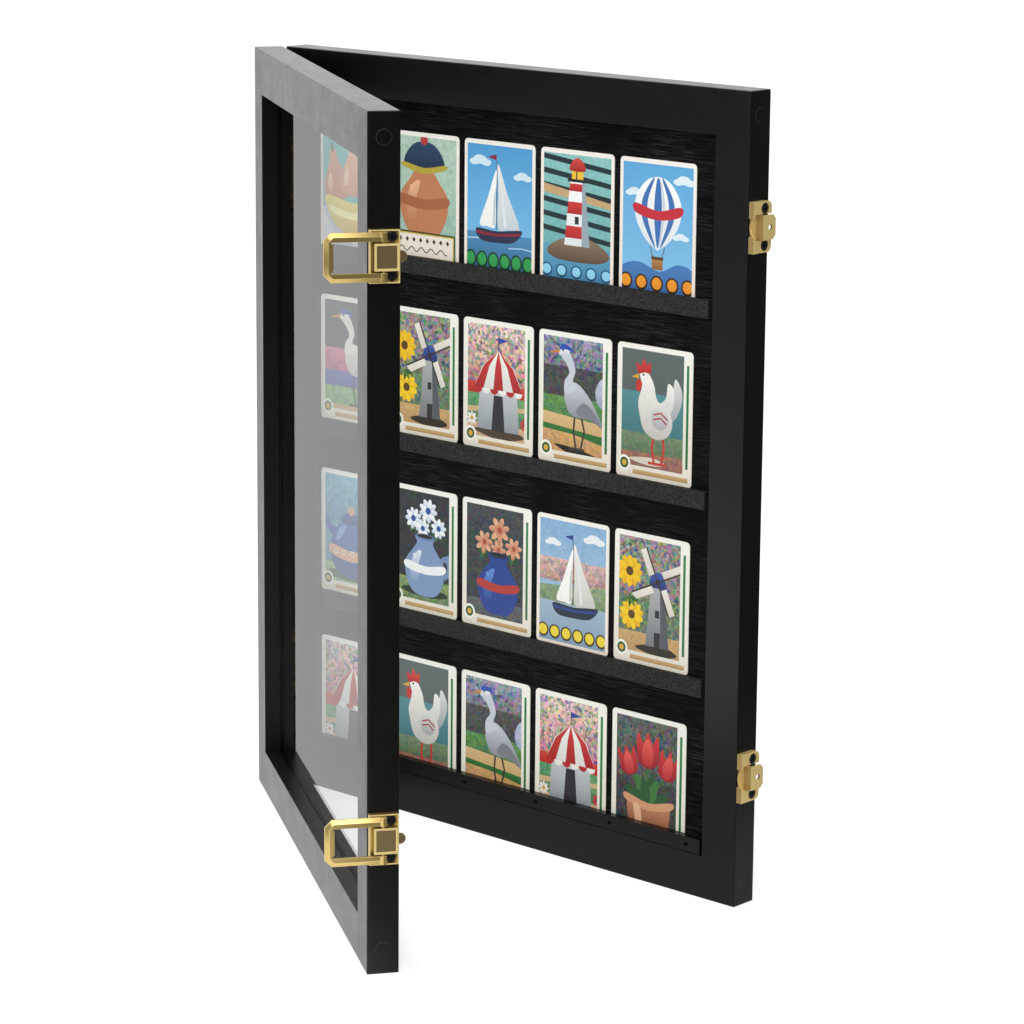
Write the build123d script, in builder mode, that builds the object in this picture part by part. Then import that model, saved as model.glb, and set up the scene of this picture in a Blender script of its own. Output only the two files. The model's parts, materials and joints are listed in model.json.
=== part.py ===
"""Wall display case for twenty trading cards, in black painted wood.

A shallow case holds four rows of five cards behind a framed glass door of the
same outer size. The door hangs on two brass butt hinges at the left and is
held shut by two brass bail latches at the right.

Millimetres, +Z up. X runs to the right and Y runs back, towards the wall.
The origin is the centre of the underside of the case. The door is drawn shut
and is then swung open on its hinges, which is how the case stands at rest.
"""

import os

from build123d import *

os.makedirs("parts", exist_ok=True)

# ---------------------------------------------------------------- case and door
CASE_DEPTH = 20.0
DOOR_THICKNESS = 20.0
DOOR_GAP = 0.5
DOOR_OPEN = 34.5
CASE_STILE = 27.5
CASE_RAIL_TOP = 29.5
CASE_RAIL_BOTTOM = 28.5
DOOR_STILE = 30.0
DOOR_RAIL_TOP = 30.5
DOOR_RAIL_BOTTOM = 29.5
EDGE_ROUND = 0.8

# the screwed corner joints, under wooden plugs
PLUG_RADIUS = 5.0
PLUG_LENGTH = 8.0
PLUG_DROP = 15.5
JOINT_SCREW_RADIUS = 2.0
JOINT_SCREW_LENGTH = 40.0
JOINT_HEAD_RADIUS = 4.0
JOINT_HEAD_HEIGHT = 3.0

# ------------------------------------------------------------ back panel, cards
PANEL_SETBACK = 6.6
PANEL_THICKNESS = 5.2
PANEL_REBATE = 8.0
PANEL_CLEARANCE = 0.3
PANEL_NAIL_RADIUS = 0.7
PANEL_NAIL_HEAD_RADIUS = 1.4
PANEL_NAIL_HEAD = 0.5
PANEL_NAIL_LENGTH = 9.0
PANEL_NAIL_SHARES = [0.2, 0.4, 0.6, 0.8]

CARD_WIDTH = 63.5
CARD_HEIGHT = 88.9
CARD_THICKNESS = 0.4
CARD_CORNER = 3.0
CARD_COLUMNS = 5
CARD_GAP = 5.1
ROW_START_GAP = 0.4
ROW_END_GAP = 19.7
ROW_1_HEADROOM = 20.9
ROW_2_HEADROOM = 24.3
ROW_3_HEADROOM = 24.5
ROW_4_HEADROOM = 21.9
CARD_SEAT_DEPTH = 5.5
CARD_SLOT_PLAY = 0.1

LEDGE_HEIGHT = 11.8
LEDGE_UPPER_LIP = 3.9
LEDGE_MIDDLE_LIP = 0.6
LEDGE_LOWER_LIP = 0.6
LEDGE_SETBACK = 1.8
LEDGE_END_GAP = 5.0
BOTTOM_LEDGE_HEIGHT = 10.2
BOTTOM_LEDGE_SETBACK = 0.6
BOTTOM_LEDGE_CARD_GAP = 0.2
BOTTOM_LEDGE_END_GAP = 2.5
LEDGE_NAIL_RADIUS = 0.6
LEDGE_NAIL_LENGTH = 8.0
LEDGE_NAIL_TILT = 50.0
LEDGE_NAIL_COUNT = 6
LEDGE_NAIL_END_GAP = 11.5

# ------------------------------------------------------------------------ glass
GLASS_THICKNESS = 2.5
GLASS_INSET = 6.5
GLASS_BITE = 5.0
GLASS_PLAY = 0.25
GLASS_EDGE_PLAY = 0.5

# ----------------------------------------------------------------------- hinges
HINGE_END_DISTANCE = 88.0
HINGE_LENGTH = 50.0
HINGE_LEAF_WIDTH = 9.5
HINGE_LEAF_THICKNESS = 1.1
HINGE_LEAF_PLAY = 0.1
HINGE_AXIS_OUT = 3.0
HINGE_KNUCKLE_RADIUS = 2.6
HINGE_KNUCKLES = 5
HINGE_KNUCKLE_GAP = 0.2
HINGE_PIN_RADIUS = 1.2
HINGE_BORE_PLAY = 0.05
HINGE_SCREW_SPACING = 34.0
HINGE_SCREW_INSET = 5.2
HINGE_SCREW_RADIUS = 1.25
HINGE_SCREW_HEAD_RADIUS = 2.3
HINGE_SCREW_LENGTH = 12.0

# ------------------------------------------------------------------ bail latches
LATCH_UPPER_DROP = 85.5
LATCH_LOWER_RISE = 87.0
TRAY_INSET = 1.0
TRAY_WIDTH = 18.4
TRAY_END_MARGIN = 1.2
TRAY_FLOOR = 1.0
TRAY_WALL = 0.9
TRAY_RIM = 4.0
HOUSING_INSET = 1.9
HOUSING_WIDTH = 15.1
HOUSING_SIDE_PLAY = 1.2
HOUSING_RISE = 7.4
HOUSING_RIM = 1.4
HOUSING_RECESS = 0.5
TONGUE_RADIUS = 3.5
TONGUE_REACH = 3.4
TONGUE_LEVEL = 2.4
TONGUE_THICKNESS = 1.0

PIVOT_INSET = 11.0
PIVOT_RISE = 5.6
PIVOT_PIN_RADIUS = 1.0
PIVOT_BORE_PLAY = 0.06
BAIL_REACH = 36.0
BAIL_HEIGHT = 29.6
BAIL_THICKNESS = 2.6
BAIL_ARM = 5.4
BAIL_BAR = 3.4
BAIL_LIP = 2.6
BAIL_LIP_BEVEL = 2.0
BAIL_EYE_RADIUS = 2.2
BAIL_CORNER = 4.4
BAIL_EDGE = 1.0
BAIL_BEVEL_ANGLE = 58.0

SMALL_SCREW_RADIUS = 1.5
SMALL_SCREW_LENGTH = 14.0
SMALL_HEAD_RADIUS = 3.2
SMALL_HEAD_HEIGHT = 2.0
SMALL_HEAD_ROUND = 0.7
SMALL_CROSS_WIDTH = 0.9
SMALL_CROSS_LENGTH = 3.6
SMALL_CROSS_DEPTH = 1.2
TRAY_SCREW_INSET = 5.6
TRAY_SCREW_END_GAP = 4.3

# ---------------------------------------------------------------------- catches
CATCH_SETBACK = 0.3
CATCH_WIDTH = 17.9
CATCH_HEIGHT = 32.6
CATCH_RISE = 4.0
CATCH_CORNER = 4.0
CATCH_WALL = 1.0
CATCH_RECESS_FLOOR = 1.6
CATCH_SCREW_SETBACK = 11.5
CATCH_SCREW_END_GAP = 4.6
CATCH_SCREW_WELL = 3.6
HOOK_SETBACK = 5.6
HOOK_REAR = 18.0
HOOK_WINDOW_PLAY = 1.5
HOOK_RISE = 7.5
HOOK_THICKNESS = 1.4
HOOK_CORNER = 2.6
HOOK_SIDE_PLAY = 0.3
LOCK_HOLE_RADIUS = 1.9
LOCK_HOLE_SETBACK = 12.7
STRAP_RADIUS = 7.3
STRAP_THICKNESS = 0.6
STRAP_HALF_HEIGHT = 5.9
STRAP_ROOT = 0.6

# ----------------------------------------------------------------- wall hangers
HANGER_OFFSET = 120.0
HANGER_LENGTH = 46.0
HANGER_HEIGHT = 9.0
HANGER_SHEET = 0.9
HANGER_STANDOFF = 1.6
HANGER_TAB = 8.0
HANGER_TOOTH = 2.5
HANGER_TEETH = 11
HANGER_DROP = 15.0
HANGER_NAIL_RADIUS = 0.8
HANGER_NAIL_HEAD_RADIUS = 1.8
HANGER_NAIL_HEAD = 0.5
HANGER_NAIL_LENGTH = 10.0

# ------------------------------------------------------------------ main places
# The opening takes a row of cards across, and four rows with three ledges up.
CARD_PITCH = CARD_WIDTH + CARD_GAP
OPENING_WIDTH = ROW_START_GAP + CARD_COLUMNS * CARD_PITCH - CARD_GAP + ROW_END_GAP
OPENING_LOW = CASE_RAIL_BOTTOM
ROW_4_BOTTOM = OPENING_LOW - CARD_SEAT_DEPTH
ROW_3_BOTTOM = ROW_4_BOTTOM + CARD_HEIGHT + ROW_4_HEADROOM + LEDGE_HEIGHT - LEDGE_LOWER_LIP
ROW_2_BOTTOM = ROW_3_BOTTOM + CARD_HEIGHT + ROW_3_HEADROOM + LEDGE_HEIGHT - LEDGE_MIDDLE_LIP
ROW_1_BOTTOM = ROW_2_BOTTOM + CARD_HEIGHT + ROW_2_HEADROOM + LEDGE_HEIGHT - LEDGE_UPPER_LIP
OPENING_HIGH = ROW_1_BOTTOM + CARD_HEIGHT + ROW_1_HEADROOM
WIDTH = OPENING_WIDTH + 2 * CASE_STILE
HEIGHT = OPENING_HIGH + CASE_RAIL_TOP

RIGHT = WIDTH / 2
CASE_MIDDLE = 0.0
CASE_FRONT = CASE_MIDDLE - CASE_DEPTH / 2
CASE_BACK = CASE_MIDDLE + CASE_DEPTH / 2
DOOR_INNER = CASE_FRONT - DOOR_GAP
DOOR_OUTER = DOOR_INNER - DOOR_THICKNESS
DOOR_MIDDLE = (DOOR_INNER + DOOR_OUTER) / 2
PANEL_FRONT = CASE_FRONT + PANEL_SETBACK
PANEL_BACK = PANEL_FRONT + PANEL_THICKNESS
CARD_FRONT = PANEL_FRONT - CARD_THICKNESS
HINGE_X = -RIGHT - HINGE_AXIS_OUT
HINGE_Y = CASE_FRONT - DOOR_GAP / 2
HINGE_HEIGHTS = {"lower": HINGE_END_DISTANCE, "upper": HEIGHT - HINGE_END_DISTANCE}
HINGE_AXIS = Axis((HINGE_X, HINGE_Y, 0), (0, 0, 1))
LATCH_HEIGHTS = {"upper": HEIGHT - LATCH_UPPER_DROP, "lower": LATCH_LOWER_RISE}
PIVOT_X = RIGHT + PIVOT_RISE
PIVOT_Y = DOOR_INNER - PIVOT_INSET
PLUG_HEIGHTS = [PLUG_DROP, HEIGHT - PLUG_DROP]
PANEL_WIDTH = OPENING_WIDTH + 2 * PANEL_REBATE - 2 * PANEL_CLEARANCE
PANEL_LOW = OPENING_LOW - PANEL_REBATE
PANEL_HIGH = OPENING_HIGH + PANEL_REBATE - PANEL_CLEARANCE
FIRST_CARD_X = -OPENING_WIDTH / 2 + ROW_START_GAP + CARD_WIDTH / 2
LAST_CARD_X = FIRST_CARD_X + (CARD_COLUMNS - 1) * CARD_PITCH
BOTTOM_LEDGE_FRONT = CASE_FRONT + BOTTOM_LEDGE_SETBACK
BOTTOM_LEDGE_LENGTH = OPENING_WIDTH - 2 * BOTTOM_LEDGE_END_GAP
LEDGE_NAIL_SPACING = (BOTTOM_LEDGE_LENGTH - 2 * LEDGE_NAIL_END_GAP) / (LEDGE_NAIL_COUNT - 1)
BAIL_WINDOW = BAIL_HEIGHT - 2 * BAIL_ARM
HOUSING_HEIGHT = BAIL_WINDOW - 2 * HOUSING_SIDE_PLAY
HOOK_HEIGHT = BAIL_WINDOW - 2 * HOOK_WINDOW_PLAY
TRAY_HEIGHT = BAIL_HEIGHT + 2 * TRAY_END_MARGIN
TRAY_SCREW_SPREAD = TRAY_HEIGHT / 2 - TRAY_SCREW_END_GAP
CATCH_SCREW_SPREAD = CATCH_HEIGHT / 2 - CATCH_SCREW_END_GAP
HANGER_Z = HEIGHT - HANGER_DROP
HANGER_NAIL_REACH = HANGER_LENGTH / 2 - HANGER_TAB / 2
SIDES = {"left": -1, "right": 1}


def front_plane(y):
    """An upright plane at depth y that faces the front, with Z up the page."""
    return Plane.XZ.offset(-y)


def side_plane(x):
    """An upright plane at x that faces right, with Y to the right of the page."""
    return Plane.YZ.offset(x)


def looking(x, y, z, out):
    """A place at a point, with its own Z axis along the direction out."""
    return Plane(origin=(x, y, z), z_dir=out)


def save(piece, label):
    """Name a finished piece and write it."""
    piece.label = label
    export_step(piece, f"parts/{label}.step")


def save_on_door(piece, label):
    """Swing a piece that was drawn with the door shut, then write it."""
    save(piece.rotate(HINGE_AXIS, -DOOR_OPEN), label)


# The pocket that each frame is cut for: its depth range, width and height range.
case_pocket = {
    "front": PANEL_FRONT,
    "back": CASE_BACK,
    "width": OPENING_WIDTH + 2 * PANEL_REBATE,
    "low": PANEL_LOW,
    "high": PANEL_HIGH + PANEL_CLEARANCE,
}
door_pocket = {
    "front": DOOR_INNER - GLASS_INSET - GLASS_THICKNESS - GLASS_PLAY,
    "back": DOOR_INNER - GLASS_INSET + GLASS_PLAY,
    "width": WIDTH - 2 * DOOR_STILE + 2 * GLASS_BITE + 2 * GLASS_EDGE_PLAY,
    "low": DOOR_RAIL_BOTTOM - GLASS_BITE,
    "high": HEIGHT - DOOR_RAIL_TOP + GLASS_BITE + GLASS_EDGE_PLAY,
}


# ------------------------------------------------------------- screws and nails
# These are made first, because every board and plate is bored to their shapes.
INWARD = (Align.CENTER, Align.CENTER, Align.MAX)
OUTWARD = (Align.CENTER, Align.CENTER, Align.MIN)


def nails(places, radius, length, head_radius, head_height):
    """Nails driven in at each place, with their flat heads on its surface."""
    with BuildPart() as group:
        with Locations(*places):
            Cylinder(radius, length, align=INWARD)
            Cylinder(head_radius, head_height, align=OUTWARD)
    return group.part


def joint_fasteners(middle):
    """The four corner screws of one half, and the four plugs that cover them."""
    places = [
        looking(side * RIGHT, middle, z, (side, 0, 0)) for side in (-1, 1) for z in PLUG_HEIGHTS
    ]
    with BuildPart() as plugs:
        with Locations(*places):
            Cylinder(PLUG_RADIUS, PLUG_LENGTH, align=INWARD)
    with BuildPart() as screws:
        with Locations(*[place.offset(-PLUG_LENGTH) for place in places]):
            Cylinder(JOINT_HEAD_RADIUS, JOINT_HEAD_HEIGHT, align=INWARD)
            Cylinder(JOINT_SCREW_RADIUS, JOINT_SCREW_LENGTH + JOINT_HEAD_HEIGHT, align=INWARD)
    return screws.part, plugs.part


def hinge_screws(toward):
    """Countersunk screws of two leaves. toward is +1 for the case, -1 for the door."""
    head_height = HINGE_SCREW_HEAD_RADIUS - HINGE_SCREW_RADIUS
    near = HINGE_Y + toward * HINGE_LEAF_PLAY
    places = [
        looking(-RIGHT + HINGE_SCREW_INSET, near, height + step, (0, -toward, 0))
        for height in HINGE_HEIGHTS.values()
        for step in (-HINGE_SCREW_SPACING / 2, HINGE_SCREW_SPACING / 2)
    ]
    with BuildPart() as screws:
        with Locations(*places):
            Cone(HINGE_SCREW_RADIUS, HINGE_SCREW_HEAD_RADIUS, head_height, align=INWARD)
            Cylinder(HINGE_SCREW_RADIUS, HINGE_SCREW_LENGTH, align=INWARD)
    return screws.part


def small_screws(face_x, y, spread):
    """Four black cross-head screws, seated on face_x, two to each latch part."""
    places = [
        looking(face_x, y, height + side * spread, (1, 0, 0))
        for height in LATCH_HEIGHTS.values()
        for side in (-1, 1)
    ]
    with BuildPart() as screws:
        with Locations(*places):
            Cylinder(SMALL_HEAD_RADIUS, SMALL_HEAD_HEIGHT, align=OUTWARD)
        rims = screws.edges().filter_by(GeomType.CIRCLE).group_by(Axis.X)[-1]
        fillet(rims, SMALL_HEAD_ROUND)
        with Locations(*[place.offset(SMALL_HEAD_HEIGHT) for place in places]):
            Box(SMALL_CROSS_LENGTH, SMALL_CROSS_WIDTH, SMALL_CROSS_DEPTH, align=INWARD, mode=Mode.SUBTRACT)
            Box(SMALL_CROSS_WIDTH, SMALL_CROSS_LENGTH, SMALL_CROSS_DEPTH, align=INWARD, mode=Mode.SUBTRACT)
        with Locations(*places):
            Cylinder(SMALL_SCREW_RADIUS, SMALL_SCREW_LENGTH, align=INWARD)
    return screws.part


case_joint_screws, case_plugs = joint_fasteners(CASE_MIDDLE)
door_joint_screws, door_plugs = joint_fasteners(DOOR_MIDDLE)
hinge_case_screws = hinge_screws(1)
hinge_door_screws = hinge_screws(-1)
latch_screws = small_screws(RIGHT + TRAY_FLOOR, DOOR_INNER - TRAY_SCREW_INSET, TRAY_SCREW_SPREAD)
catch_screws = small_screws(
    RIGHT + CATCH_RISE - SMALL_HEAD_HEIGHT,
    CASE_FRONT + CATCH_SCREW_SETBACK,
    CATCH_SCREW_SPREAD,
)

# The panel's nails stand in its rebate all round, above and below between cards.
panel_nail_x = PANEL_WIDTH / 2 - (PANEL_REBATE - PANEL_CLEARANCE) / 2
panel_nail_rows = [PANEL_LOW + PANEL_REBATE / 2, PANEL_HIGH - PANEL_REBATE / 2]
between_cards = [FIRST_CARD_X + CARD_PITCH / 2, LAST_CARD_X - CARD_PITCH / 2]
panel_nail_places = [(x, z) for x in between_cards for z in panel_nail_rows]
panel_nail_places += [
    (x, HEIGHT * share) for x in (-panel_nail_x, panel_nail_x) for share in PANEL_NAIL_SHARES
]
back_panel_nails = nails(
    [looking(x, PANEL_BACK, z, (0, 1, 0)) for x, z in panel_nail_places],
    PANEL_NAIL_RADIUS,
    PANEL_NAIL_LENGTH,
    PANEL_NAIL_HEAD_RADIUS,
    PANEL_NAIL_HEAD,
)

hanger_nail_places = [
    looking(middle + reach, CASE_BACK + HANGER_SHEET, HANGER_Z, (0, 1, 0))
    for middle in (-HANGER_OFFSET, HANGER_OFFSET)
    for reach in (-HANGER_NAIL_REACH, HANGER_NAIL_REACH)
]
hanger_nails = nails(
    hanger_nail_places,
    HANGER_NAIL_RADIUS,
    HANGER_NAIL_LENGTH,
    HANGER_NAIL_HEAD_RADIUS,
    HANGER_NAIL_HEAD,
)

# Headless nails, driven at a slant through the bottom ledge into the rail.
ledge_nail_row = Plane(
    origin=(0, BOTTOM_LEDGE_FRONT, OPENING_LOW + BOTTOM_LEDGE_HEIGHT / 2),
    x_dir=(1, 0, 0),
    z_dir=(0, -1, 0),
).rotated((-LEDGE_NAIL_TILT, 0, 0))
with BuildPart() as bottom_ledge_nails:
    with Locations(ledge_nail_row):
        with GridLocations(LEDGE_NAIL_SPACING, 1, LEDGE_NAIL_COUNT, 1):
            Cylinder(LEDGE_NAIL_RADIUS, LEDGE_NAIL_LENGTH, align=INWARD)
bottom_ledge_nails = bottom_ledge_nails.part

save(case_joint_screws, "case_joint_screws")
save(case_plugs, "case_plugs")
save_on_door(door_joint_screws, "door_joint_screws")
save_on_door(door_plugs, "door_plugs")
save(hinge_case_screws, "hinge_case_screws")
save_on_door(hinge_door_screws, "hinge_door_screws")
save_on_door(latch_screws, "latch_screws")
save(catch_screws, "catch_screws")
save(back_panel_nails, "back_panel_nails")
save(hanger_nails, "hanger_nails")
save(bottom_ledge_nails, "bottom_ledge_nails")



def frame_stile(side, stile_width, front, depth, pocket, leaf_cut, fasteners):
    """An upright board over the full height, rounded on its outer edges.

    It takes the plugged screws of the corner joints, the pocket of the panel or
    glass, and the fasteners. leaf_cut is the depth of the hinge mortises, or None.
    """
    middle = front + depth / 2
    with BuildPart() as stile:
        with BuildSketch(Plane.XY):
            with Locations((side * (RIGHT - stile_width / 2), middle)):
                Rectangle(stile_width, depth)
        extrude(amount=HEIGHT)
        inner_face = stile.faces().sort_by(Axis.X)[0 if side > 0 else -1]
        fillet(stile.edges() - inner_face.edges(), EDGE_ROUND)
        with BuildSketch(front_plane(pocket["front"])):
            with Locations((0, (pocket["low"] + pocket["high"]) / 2)):
                Rectangle(pocket["width"], pocket["high"] - pocket["low"])
        extrude(amount=pocket["front"] - pocket["back"], mode=Mode.SUBTRACT)
        places = [looking(side * RIGHT, middle, z, (side, 0, 0)) for z in PLUG_HEIGHTS]
        with Locations(*places):
            CounterBoreHole(JOINT_SCREW_RADIUS, PLUG_RADIUS, PLUG_LENGTH + JOINT_HEAD_HEIGHT, stile_width)
        if leaf_cut:
            with BuildSketch(front_plane(leaf_cut[0])):
                with Locations(*[(-RIGHT + HINGE_LEAF_WIDTH / 2, z) for z in HINGE_HEIGHTS.values()]):
                    Rectangle(HINGE_LEAF_WIDTH, HINGE_LENGTH)
            extrude(amount=leaf_cut[0] - leaf_cut[1], mode=Mode.SUBTRACT)
        add(fasteners, mode=Mode.SUBTRACT)
    return stile.part


def frame_rail(low, high, stile_width, front, depth, pocket, fasteners=(), card_seat=None):
    """A level board between the stiles, with screw holes in its ends."""
    length = WIDTH - 2 * stile_width
    middle = front + depth / 2
    is_top = low > HEIGHT / 2
    pilot = JOINT_SCREW_LENGTH + PLUG_LENGTH + JOINT_HEAD_HEIGHT - stile_width
    screw_z = HEIGHT - PLUG_DROP if is_top else PLUG_DROP
    with BuildPart() as rail:
        with BuildSketch(Plane.XY.offset(low)):
            with Locations((0, middle)):
                Rectangle(length, depth)
        extrude(amount=high - low)
        outer_face = rail.faces().sort_by(Axis.Z)[-1 if is_top else 0]
        fillet(outer_face.edges().filter_by(Axis.X), EDGE_ROUND)
        with BuildSketch(front_plane(pocket["front"])):
            with Locations((0, (pocket["low"] + pocket["high"]) / 2)):
                Rectangle(pocket["width"], pocket["high"] - pocket["low"])
        extrude(amount=pocket["front"] - pocket["back"], mode=Mode.SUBTRACT)
        ends = [looking(side * length / 2, middle, screw_z, (side, 0, 0)) for side in (-1, 1)]
        with Locations(*ends):
            Hole(JOINT_SCREW_RADIUS, pilot)
        if card_seat:
            with BuildSketch(front_plane(CARD_FRONT - CARD_SLOT_PLAY)):
                with Locations((0, card_seat + (high - card_seat) / 2)):
                    Rectangle(length, high - card_seat)
            extrude(amount=-(CARD_THICKNESS + CARD_SLOT_PLAY), mode=Mode.SUBTRACT)
        if fasteners:
            add(fasteners, mode=Mode.SUBTRACT)
    return rail.part


# ------------------------------------------------------- the four case boards
case_leaf_cut = (CASE_FRONT, HINGE_Y + HINGE_LEAF_PLAY + HINGE_LEAF_THICKNESS)
for name, side in SIDES.items():
    cut = case_leaf_cut if side < 0 else None
    screws = hinge_case_screws if side < 0 else catch_screws
    bores = [screws, back_panel_nails]
    stile = frame_stile(side, CASE_STILE, CASE_FRONT, CASE_DEPTH, case_pocket, cut, bores)
    save(stile, f"case_stile_{name}")

case_rail_top = frame_rail(
    OPENING_HIGH,
    HEIGHT,
    CASE_STILE,
    CASE_FRONT,
    CASE_DEPTH,
    case_pocket,
    [back_panel_nails, hanger_nails],
)
save(case_rail_top, "case_rail_top")

case_rail_bottom = frame_rail(
    0,
    OPENING_LOW,
    CASE_STILE,
    CASE_FRONT,
    CASE_DEPTH,
    case_pocket,
    [back_panel_nails, bottom_ledge_nails],
    ROW_4_BOTTOM,
)
save(case_rail_bottom, "case_rail_bottom")

# ------------------------------------------------------- the four door boards
door_leaf_cut = (HINGE_Y - HINGE_LEAF_PLAY - HINGE_LEAF_THICKNESS, DOOR_INNER)
for name, side in {"hinge": -1, "free": 1}.items():
    cut = door_leaf_cut if side < 0 else None
    screws = hinge_door_screws if side < 0 else latch_screws
    stile = frame_stile(side, DOOR_STILE, DOOR_OUTER, DOOR_THICKNESS, door_pocket, cut, [screws])
    save_on_door(stile, f"door_stile_{name}")

save_on_door(
    frame_rail(HEIGHT - DOOR_RAIL_TOP, HEIGHT, DOOR_STILE, DOOR_OUTER, DOOR_THICKNESS, door_pocket),
    "door_rail_top",
)
save_on_door(
    frame_rail(0, DOOR_RAIL_BOTTOM, DOOR_STILE, DOOR_OUTER, DOOR_THICKNESS, door_pocket),
    "door_rail_bottom",
)


# ------------------------------------------------------------------- back panel
with BuildPart() as back_panel:
    with BuildSketch(front_plane(PANEL_FRONT)):
        with Locations((0, (PANEL_LOW + PANEL_HIGH) / 2)):
            Rectangle(PANEL_WIDTH, PANEL_HIGH - PANEL_LOW)
    extrude(amount=-PANEL_THICKNESS)
    add(back_panel_nails, mode=Mode.SUBTRACT)
save(back_panel.part, "back_panel")


# ----------------------------------------------------------------- card ledges
def card_ledge(card_bottom, lip):
    """A square strip glued to the panel, with a slot behind its front lip."""
    top = card_bottom + lip
    length = OPENING_WIDTH - 2 * LEDGE_END_GAP
    front = CASE_FRONT + LEDGE_SETBACK
    with BuildPart() as ledge:
        with BuildSketch(front_plane(front)):
            with Locations((0, top - LEDGE_HEIGHT / 2)):
                Rectangle(length, LEDGE_HEIGHT)
        extrude(amount=front - PANEL_FRONT)
        with BuildSketch(front_plane(CARD_FRONT - CARD_SLOT_PLAY)):
            with Locations((0, card_bottom + lip / 2)):
                Rectangle(length, lip)
        extrude(amount=-(CARD_THICKNESS + CARD_SLOT_PLAY), mode=Mode.SUBTRACT)
    return ledge.part


save(card_ledge(ROW_1_BOTTOM, LEDGE_UPPER_LIP), "ledge_upper")
save(card_ledge(ROW_2_BOTTOM, LEDGE_MIDDLE_LIP), "ledge_middle")
save(card_ledge(ROW_3_BOTTOM, LEDGE_LOWER_LIP), "ledge_lower")

# The bottom ledge stands on the bottom rail, nearly flush with the case's front.
with BuildPart() as bottom_ledge:
    with BuildSketch(front_plane(BOTTOM_LEDGE_FRONT)):
        with Locations((0, OPENING_LOW + BOTTOM_LEDGE_HEIGHT / 2)):
            Rectangle(BOTTOM_LEDGE_LENGTH, BOTTOM_LEDGE_HEIGHT)
    extrude(amount=BOTTOM_LEDGE_FRONT - CARD_FRONT + BOTTOM_LEDGE_CARD_GAP)
    add(bottom_ledge_nails, mode=Mode.SUBTRACT)
save(bottom_ledge.part, "bottom_ledge")

# ------------------------------------------------------------------------ cards
for row, bottom in enumerate([ROW_1_BOTTOM, ROW_2_BOTTOM, ROW_3_BOTTOM, ROW_4_BOTTOM], start=1):
    for column in range(1, CARD_COLUMNS + 1):
        centre = (FIRST_CARD_X + (column - 1) * CARD_PITCH, bottom + CARD_HEIGHT / 2)
        with BuildPart() as card:
            with BuildSketch(front_plane(CARD_FRONT)):
                with Locations(centre):
                    RectangleRounded(CARD_WIDTH, CARD_HEIGHT, CARD_CORNER)
            extrude(amount=-CARD_THICKNESS)
        save(card.part, f"card_row{row}_column{column}")

# ------------------------------------------------------------------------ glass
glass_width = WIDTH - 2 * DOOR_STILE + 2 * GLASS_BITE
glass_low = door_pocket["low"]
glass_high = door_pocket["high"] - GLASS_EDGE_PLAY
with BuildPart() as glass_pane:
    with BuildSketch(front_plane(DOOR_INNER - GLASS_INSET)):
        with Locations((0, (glass_low + glass_high) / 2)):
            Rectangle(glass_width, glass_high - glass_low)
    extrude(amount=GLASS_THICKNESS)
save_on_door(glass_pane.part, "glass_pane")


# ----------------------------------------------------------------------- hinges
def hinge_leaf(height, toward, knuckles):
    """One leaf with its knuckles. toward is +1 for the case and -1 for the door."""
    segment = HINGE_LENGTH / HINGE_KNUCKLES
    low = height - HINGE_LENGTH / 2
    near = HINGE_Y + toward * HINGE_LEAF_PLAY
    middle = near + toward * HINGE_LEAF_THICKNESS / 2
    face_x = -RIGHT + HINGE_SCREW_INSET
    with BuildPart() as leaf:
        with BuildSketch(Plane.XY.offset(low)):
            with Locations((-RIGHT + HINGE_LEAF_WIDTH / 2, middle)):
                Rectangle(HINGE_LEAF_WIDTH, HINGE_LEAF_THICKNESS)
        extrude(amount=HINGE_LENGTH)
        for index in knuckles:
            start = low + index * segment + HINGE_KNUCKLE_GAP / 2
            with BuildSketch(Plane.XY.offset(start)):
                with Locations((HINGE_X, HINGE_Y)):
                    Circle(HINGE_KNUCKLE_RADIUS)
                with Locations((HINGE_X + HINGE_AXIS_OUT / 2, middle)):
                    Rectangle(HINGE_AXIS_OUT, HINGE_LEAF_THICKNESS)
                with Locations((HINGE_X, HINGE_Y)):
                    Circle(HINGE_PIN_RADIUS + HINGE_BORE_PLAY, mode=Mode.SUBTRACT)
            extrude(amount=segment - HINGE_KNUCKLE_GAP)
        holes = [
            looking(face_x, near, height + step, (0, -toward, 0))
            for step in (-HINGE_SCREW_SPACING / 2, HINGE_SCREW_SPACING / 2)
        ]
        with Locations(*holes):
            CounterSinkHole(HINGE_SCREW_RADIUS, HINGE_SCREW_HEAD_RADIUS, HINGE_LEAF_THICKNESS, 90)
    return leaf.part


even_knuckles = range(0, HINGE_KNUCKLES, 2)
odd_knuckles = range(1, HINGE_KNUCKLES, 2)
for name, height in HINGE_HEIGHTS.items():
    save(hinge_leaf(height, 1, even_knuckles), f"hinge_case_leaf_{name}")
    save_on_door(hinge_leaf(height, -1, odd_knuckles), f"hinge_door_leaf_{name}")
with BuildPart() as hinge_pins:
    with Locations(*[(HINGE_X, HINGE_Y, height) for height in HINGE_HEIGHTS.values()]):
        Cylinder(HINGE_PIN_RADIUS, HINGE_LENGTH)
save(hinge_pins.part, "hinge_pins")


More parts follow.
